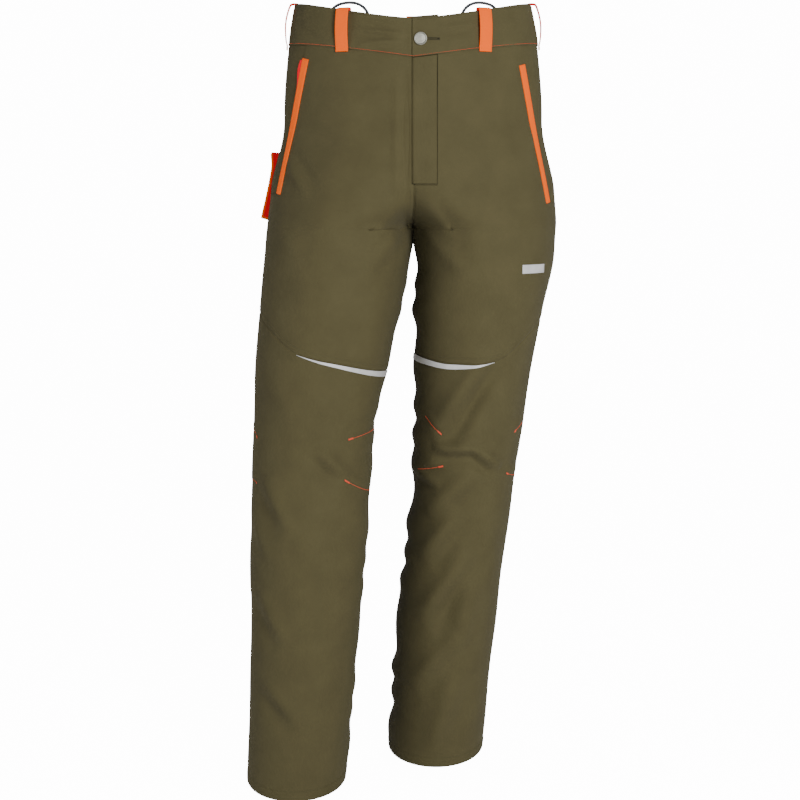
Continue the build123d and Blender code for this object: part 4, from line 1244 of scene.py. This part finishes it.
rim = np.concatenate([
    np.stack([np.full(40, -34.0), np.linspace(2, 101, 40)], 1),
    np.stack([np.linspace(-34, 34, 30), 101 - FLAP_SLANT * np.linspace(0, 1, 30)], 1)[1:],
    np.stack([np.full(40, 34.0), np.linspace(92, 2, 40)], 1)[1:],
])
rim = rounded(rim, 1)
centres = flap_point(rim[:, 0], rim[:, 1], 0.0)
along = unit(np.gradient(centres, axis=0))
thick = np.broadcast_to(unit(np.cross(FLAP_SIDE, FLAP_DOWN) * -1), centres.shape)
rings = strap_rings(centres, unit(np.cross(along, thick)), thick, 1.9, 1.1, 16, 4.0)
binding = add_piece("flap_edge_binding", closed_mesh("flap_edge_binding", rings), ORANGE)
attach(binding, "pocket_flap")


# ---------------------------------------------------------------- cut protection
# Layered pads of pale cut-retardant fibre in the front of each leg, quilted in
# wide channels: one from hip to knee, one from knee to shin.
PAD = woven("pale_cut_fibre", paint(214, 211, 198), paint(186, 182, 166), 0.003, 0.85, 22.0, 0.0004, 0.3)
for side, sign in OUTWARD.items():
    for name, first_z, last_z, bodies, bend, nodes in (
        ("hip", -106, -500, ("seat", f"thigh_{side}"), HIP_BEND,
        (f"cut_pack_hip_{side}", f"cut_pack_thigh_{side}")),
        ("shin", -500, -1044, (f"thigh_{side}", f"shin_{side}"), KNEE_BEND, (f"cut_pack_shin_{side}",)),
    ):
        z = np.linspace(first_z, last_z, 110)[:, None]
        inner_x = sign * 42 + 0 * z
        clear_fly = across(side, inner_x, np.maximum(z, -262))
        inner = clear_fly + (0.955 - clear_fly) * smooth((-262 - z) / 40)
        u = 0.03 + (inner - 0.03) * np.linspace(0, 1, 60)[None, :]
        z = z + 0 * u
        quilt = 0.4 * np.abs(np.sin(u * 9)) * np.abs(np.sin(z / 40))
        points = worn(side, u, z, drape(side, u, z) + 4.6 - quilt)
        pad = cloth_piece(f"cut_pad_{name}_{side}", points, outwards(side, u, z), PAD, 3.4)
        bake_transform(pad)
        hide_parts(*nodes)


# ---------------------------------------------------------------- lining
# Dark mesh lining right round the inside of each half, from the waistband to
# the knee and from the knee to just above the hem.
for side, sign in OUTWARD.items():
    for name, bodies, bend, nodes in (
        ("upper", ("seat", f"thigh_{side}"), HIP_BEND, ("lining_hip", f"lining_thigh_{side}")),
        ("lower", (f"thigh_{side}", f"shin_{side}"), KNEE_BEND, (f"lining_shin_{side}",)),
    ):
        rows = np.concatenate([np.linspace(0, 1, 60)[:-1], 2 - (1 - np.linspace(0, 1, 26)[:-1]) ** 2,
            2 + np.linspace(0, 1, 40)])[:, None]
        if name == "upper":
            levels = (-62, -240, CROTCH, -500)
            z = levels[0] + sum((b - a) * np.clip(rows - i, 0, 1) for i,
                (a, b) in enumerate(zip(levels, levels[1:])))
        else:
            z = -500 + (-1052 + 500) * np.linspace(0, 1, 130)[:, None]
        clear_fly = across(side, sign * 40 + 0 * z, np.maximum(z, -262))
        inner = clear_fly + (1 - clear_fly) * smooth((-250 - z) / 24)
        u = -1 + (inner + 1) * eased(120, 1.2)[None, :]
        z = z + 0 * u
        points = worn(side, u, z, drape(side, u, z) * 0.8 + 9.2)
        lining = cloth_piece(f"lining_{name}_half_{side}", points, outwards(side, u, z), LINING, 0.6)
        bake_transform(lining)
        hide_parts(*nodes)


# ---------------------------------------------------------------- stitching
# Lockstitch topstitching: orange-red under the waistband and on the darts, olive
# everywhere else, with close satin bar tacks at the points that take strain.
def thread_mesh(name, runs, pitch=3.2, length=2.5, radius=0.34):
    """Rows of stitches. Along each run of points, one spindle every pitch: three five-sided rings, full in
    the middle and small at the ends, laid along the run and flattened onto the cloth."""
    vertices, faces, first = [], [], 0
    angle = np.linspace(0, 2 * np.pi, 5, endpoint=False)
    for path, normal in runs:
        step = np.linalg.norm(np.diff(path, axis=0), axis=1)
        arc = np.concatenate([[0], np.cumsum(step)])
        at = np.arange(pitch / 2, arc[-1], pitch)
        centre = np.stack([np.interp(at, arc, path[:, i]) for i in range(3)], 1)
        slope = np.gradient(path, axis=0)
        along = unit(np.stack([np.interp(at, arc, slope[:, i]) for i in range(3)], 1))
        normal = np.broadcast_to(normal, path.shape)
        out = unit(np.stack([np.interp(at, arc, normal[:, i]) for i in range(3)], 1))
        beside = unit(np.cross(along, out))
        rings = []
        for place, swell in ((-0.5, 0.35), (0.0, 1.0), (0.5, 0.35)):
            ring = (centre + along * (place * length))[:, None] + radius * swell * (
                beside[:, None] * np.cos(angle)[None, :, None] + out[:, None] * 0.75 * np.sin(angle)[None,
                :, None])
            rings.append(ring - out[:, None] * (0.25 * (1 - swell)))
        block = np.stack(rings, 1).reshape(-1, 3)
        base = first + np.arange(len(at))[:, None, None] * 15
        quad = []
        for ring in (0, 1):
            for i in range(5):
                j = (i + 1) % 5
                quad.append((ring * 5 + i, ring * 5 + 5 + i, ring * 5 + 5 + j, ring * 5 + j))
        quad = (base + np.array(quad)[None]).reshape(-1, 4)
        ends = [(base[:, 0, 0][:, None] + np.array(order)).tolist() for order in ((0, 1, 2, 3, 4),
            (14, 13, 12, 11, 10))]
        vertices.append(block)
        faces += quad.tolist() + ends[0] + ends[1]
        first += len(block)
    mesh = bpy.data.meshes.new(name)
    mesh.from_pydata((np.concatenate(vertices) / 1000).tolist(), [], faces)
    mesh.shade_smooth()
    return mesh


def cloth_run(side, u, z, lift=0.25):
    """A line of points and normals on the draped cloth."""
    u, z = np.broadcast_arrays(np.asarray(u, float), np.asarray(z, float))
    return on_cloth(side, u, z, lift), outwards(side, u, z)


def sewn(name, runs, material, body, slot, bend=None, **spacing):
    """A piece of stitching that rides a body, or, when a bend is given, is fixed in place where it was made.
    """
    thread = add_piece(name, thread_mesh(name, runs, **spacing), material)
    if bend is None:
        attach(thread, body)
    else:
        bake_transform(thread)
    return thread


seam_turn = np.linspace(-SIDE_TURN + 0.02, SIDE_TURN - 0.02, 400)
seam_x = waist(seam_turn, -70 + 0 * seam_turn)[:, 0]
seam_z = band_edge(seam_x, WAIST_SIDE, WAIST_FRONT) + 1.6
front_seam = (waist(seam_turn, seam_z, OUTER - 0.35),
    np.stack([np.sin(seam_turn), -np.cos(seam_turn), 0 * seam_turn], -1))
back_turn = np.linspace(SIDE_TURN + 0.02, 3 * SIDE_TURN - 0.02, 400)
back_x = waist(back_turn, -62 + 0 * back_turn)[:, 0]
back_seam = (waist(back_turn, band_edge(back_x, WAIST_SIDE, WAIST_BACK) + 1.6, OUTER - 0.35),
             np.stack([np.sin(back_turn), -np.cos(back_turn), 0 * back_turn], -1))
sewn("waist_seam_thread", [front_seam, back_seam], THREAD_RED, "seat", "orange_binding", pitch=2.6,
    length=2.3, radius=0.3)

edge_runs = []
for turns, top_edge in ((seam_turn, (0, -29)), (back_turn, (0, -8))):
    edge_x = waist(turns, -20 + 0 * turns)[:, 0]
    edge_runs.append((waist(turns, band_edge(edge_x, *top_edge) - 2.6, OUTER - 0.2),
                      np.stack([np.sin(turns), -np.cos(turns), 0 * turns], -1)))
end_z = np.linspace(-33, -77, 30)
edge_runs.append((waist(np.arcsin(0.4 / 168) + 0 * end_z, end_z, OUTER - 0.2), FORWARD))
sewn("waistband_edge_thread", edge_runs, THREAD_OLIVE, "seat", "olive_cloth")

z = np.linspace(-68, FLY_FOOT - 1, 200)
fly_line = worn("left", across("left", 31.4 + 0 * z, z), z,
    drape("left", across("left", 31.4 + 0 * z, z), z) - 0.25)
x = np.linspace(31.4, 0, 24)
foot_z = FLY_FOOT - 1.2 + 0 * x
foot_line = worn("left", across("left", x, foot_z), foot_z,
    drape("left", across("left", x, foot_z), foot_z) - 0.25)
sewn("fly_thread", [(fly_line, FORWARD), (foot_line, FORWARD)],
    THREAD_DARK, "seat", "olive_cloth", radius=0.4)

sewn("belt_loop_thread", loop_stitch_lines, THREAD_ORANGE, "seat", "orange_binding", pitch=2.8, length=2.2,
    radius=0.3)

for side, sign in OUTWARD.items():
    z = np.linspace(-64, -400, 300)
    upper_runs = [cloth_run(side, -0.034 + 0 * z, z)]
    u = np.linspace(0.02, 0.98, 300)
    upper_runs.append(cloth_run(side, u, knee_seam(side, u) + 8.5))
    z = np.linspace(-70, -296, 200)
    upper_runs += [cloth_run(side, -0.985 + 0 * z, z), cloth_run(side, -0.955 + 0 * z, z)]
    z = np.linspace(FLY_FOOT - 6, -290, 60)
    upper_runs.append(cloth_run(side, 0.985 + 0 * z, z))
    z = np.linspace(-310, -470, 120)
    upper_runs.append(cloth_run(side, -0.975 + 0 * z, z))
    sewn(f"leg_thread_upper_{side}", upper_runs, THREAD_OLIVE, ("seat", f"thigh_{side}"), "olive_cloth",
        HIP_BEND)
    z = np.linspace(-440, -1060, 400)
    lower_runs = [cloth_run(side, -0.034 + 0 * z, z)]
    z = np.linspace(-515, -1050, 360)
    lower_runs.append(cloth_run(side, -0.975 + 0 * z, z))
    for way in (1, -1):
        u = way * np.linspace(0.01, 0.99, 160)
        lower_runs.append(cloth_run(side, u, hem_height(side, u) + HEM_DEPTH, 0.5))
    sewn(f"leg_thread_lower_{side}", lower_runs, THREAD_OLIVE, (f"thigh_{side}", f"shin_{side}"),
        "olive_cloth", KNEE_BEND)

    dart_runs, tack_runs = [], []
    for x1, z1, x2, z2 in DARTS[side]:
        share = np.linspace(0, 1, 30)
        x, z = x1 + (x2 - x1) * share, z1 + (z2 - z1) * share
        u = across(side, x, z)
        lifted = worn(side, u, z, drape(side, u, z) - dart_tuck(side, u[None], z[None])[0] - 0.5)
        dart_runs.append((lifted, outwards(side, u, z)))
        tail = share > 0.78
        for shift in (-0.7, 0.0, 0.7):
            tack_runs.append((lifted[tail] + np.array([0, 0, shift]), outwards(side, u, z)[tail]))
    sewn(f"dart_thread_{side}", dart_runs, THREAD_RED, (f"thigh_{side}", f"shin_{side}"), "orange_binding",
        KNEE_BEND,
         pitch=2.4, length=2.4, radius=0.5)
    sewn(f"dart_tack_{side}", tack_runs, THREAD_RED, (f"thigh_{side}", f"shin_{side}"), "orange_binding",
        KNEE_BEND,
         pitch=1.2, length=1.6, radius=0.7)
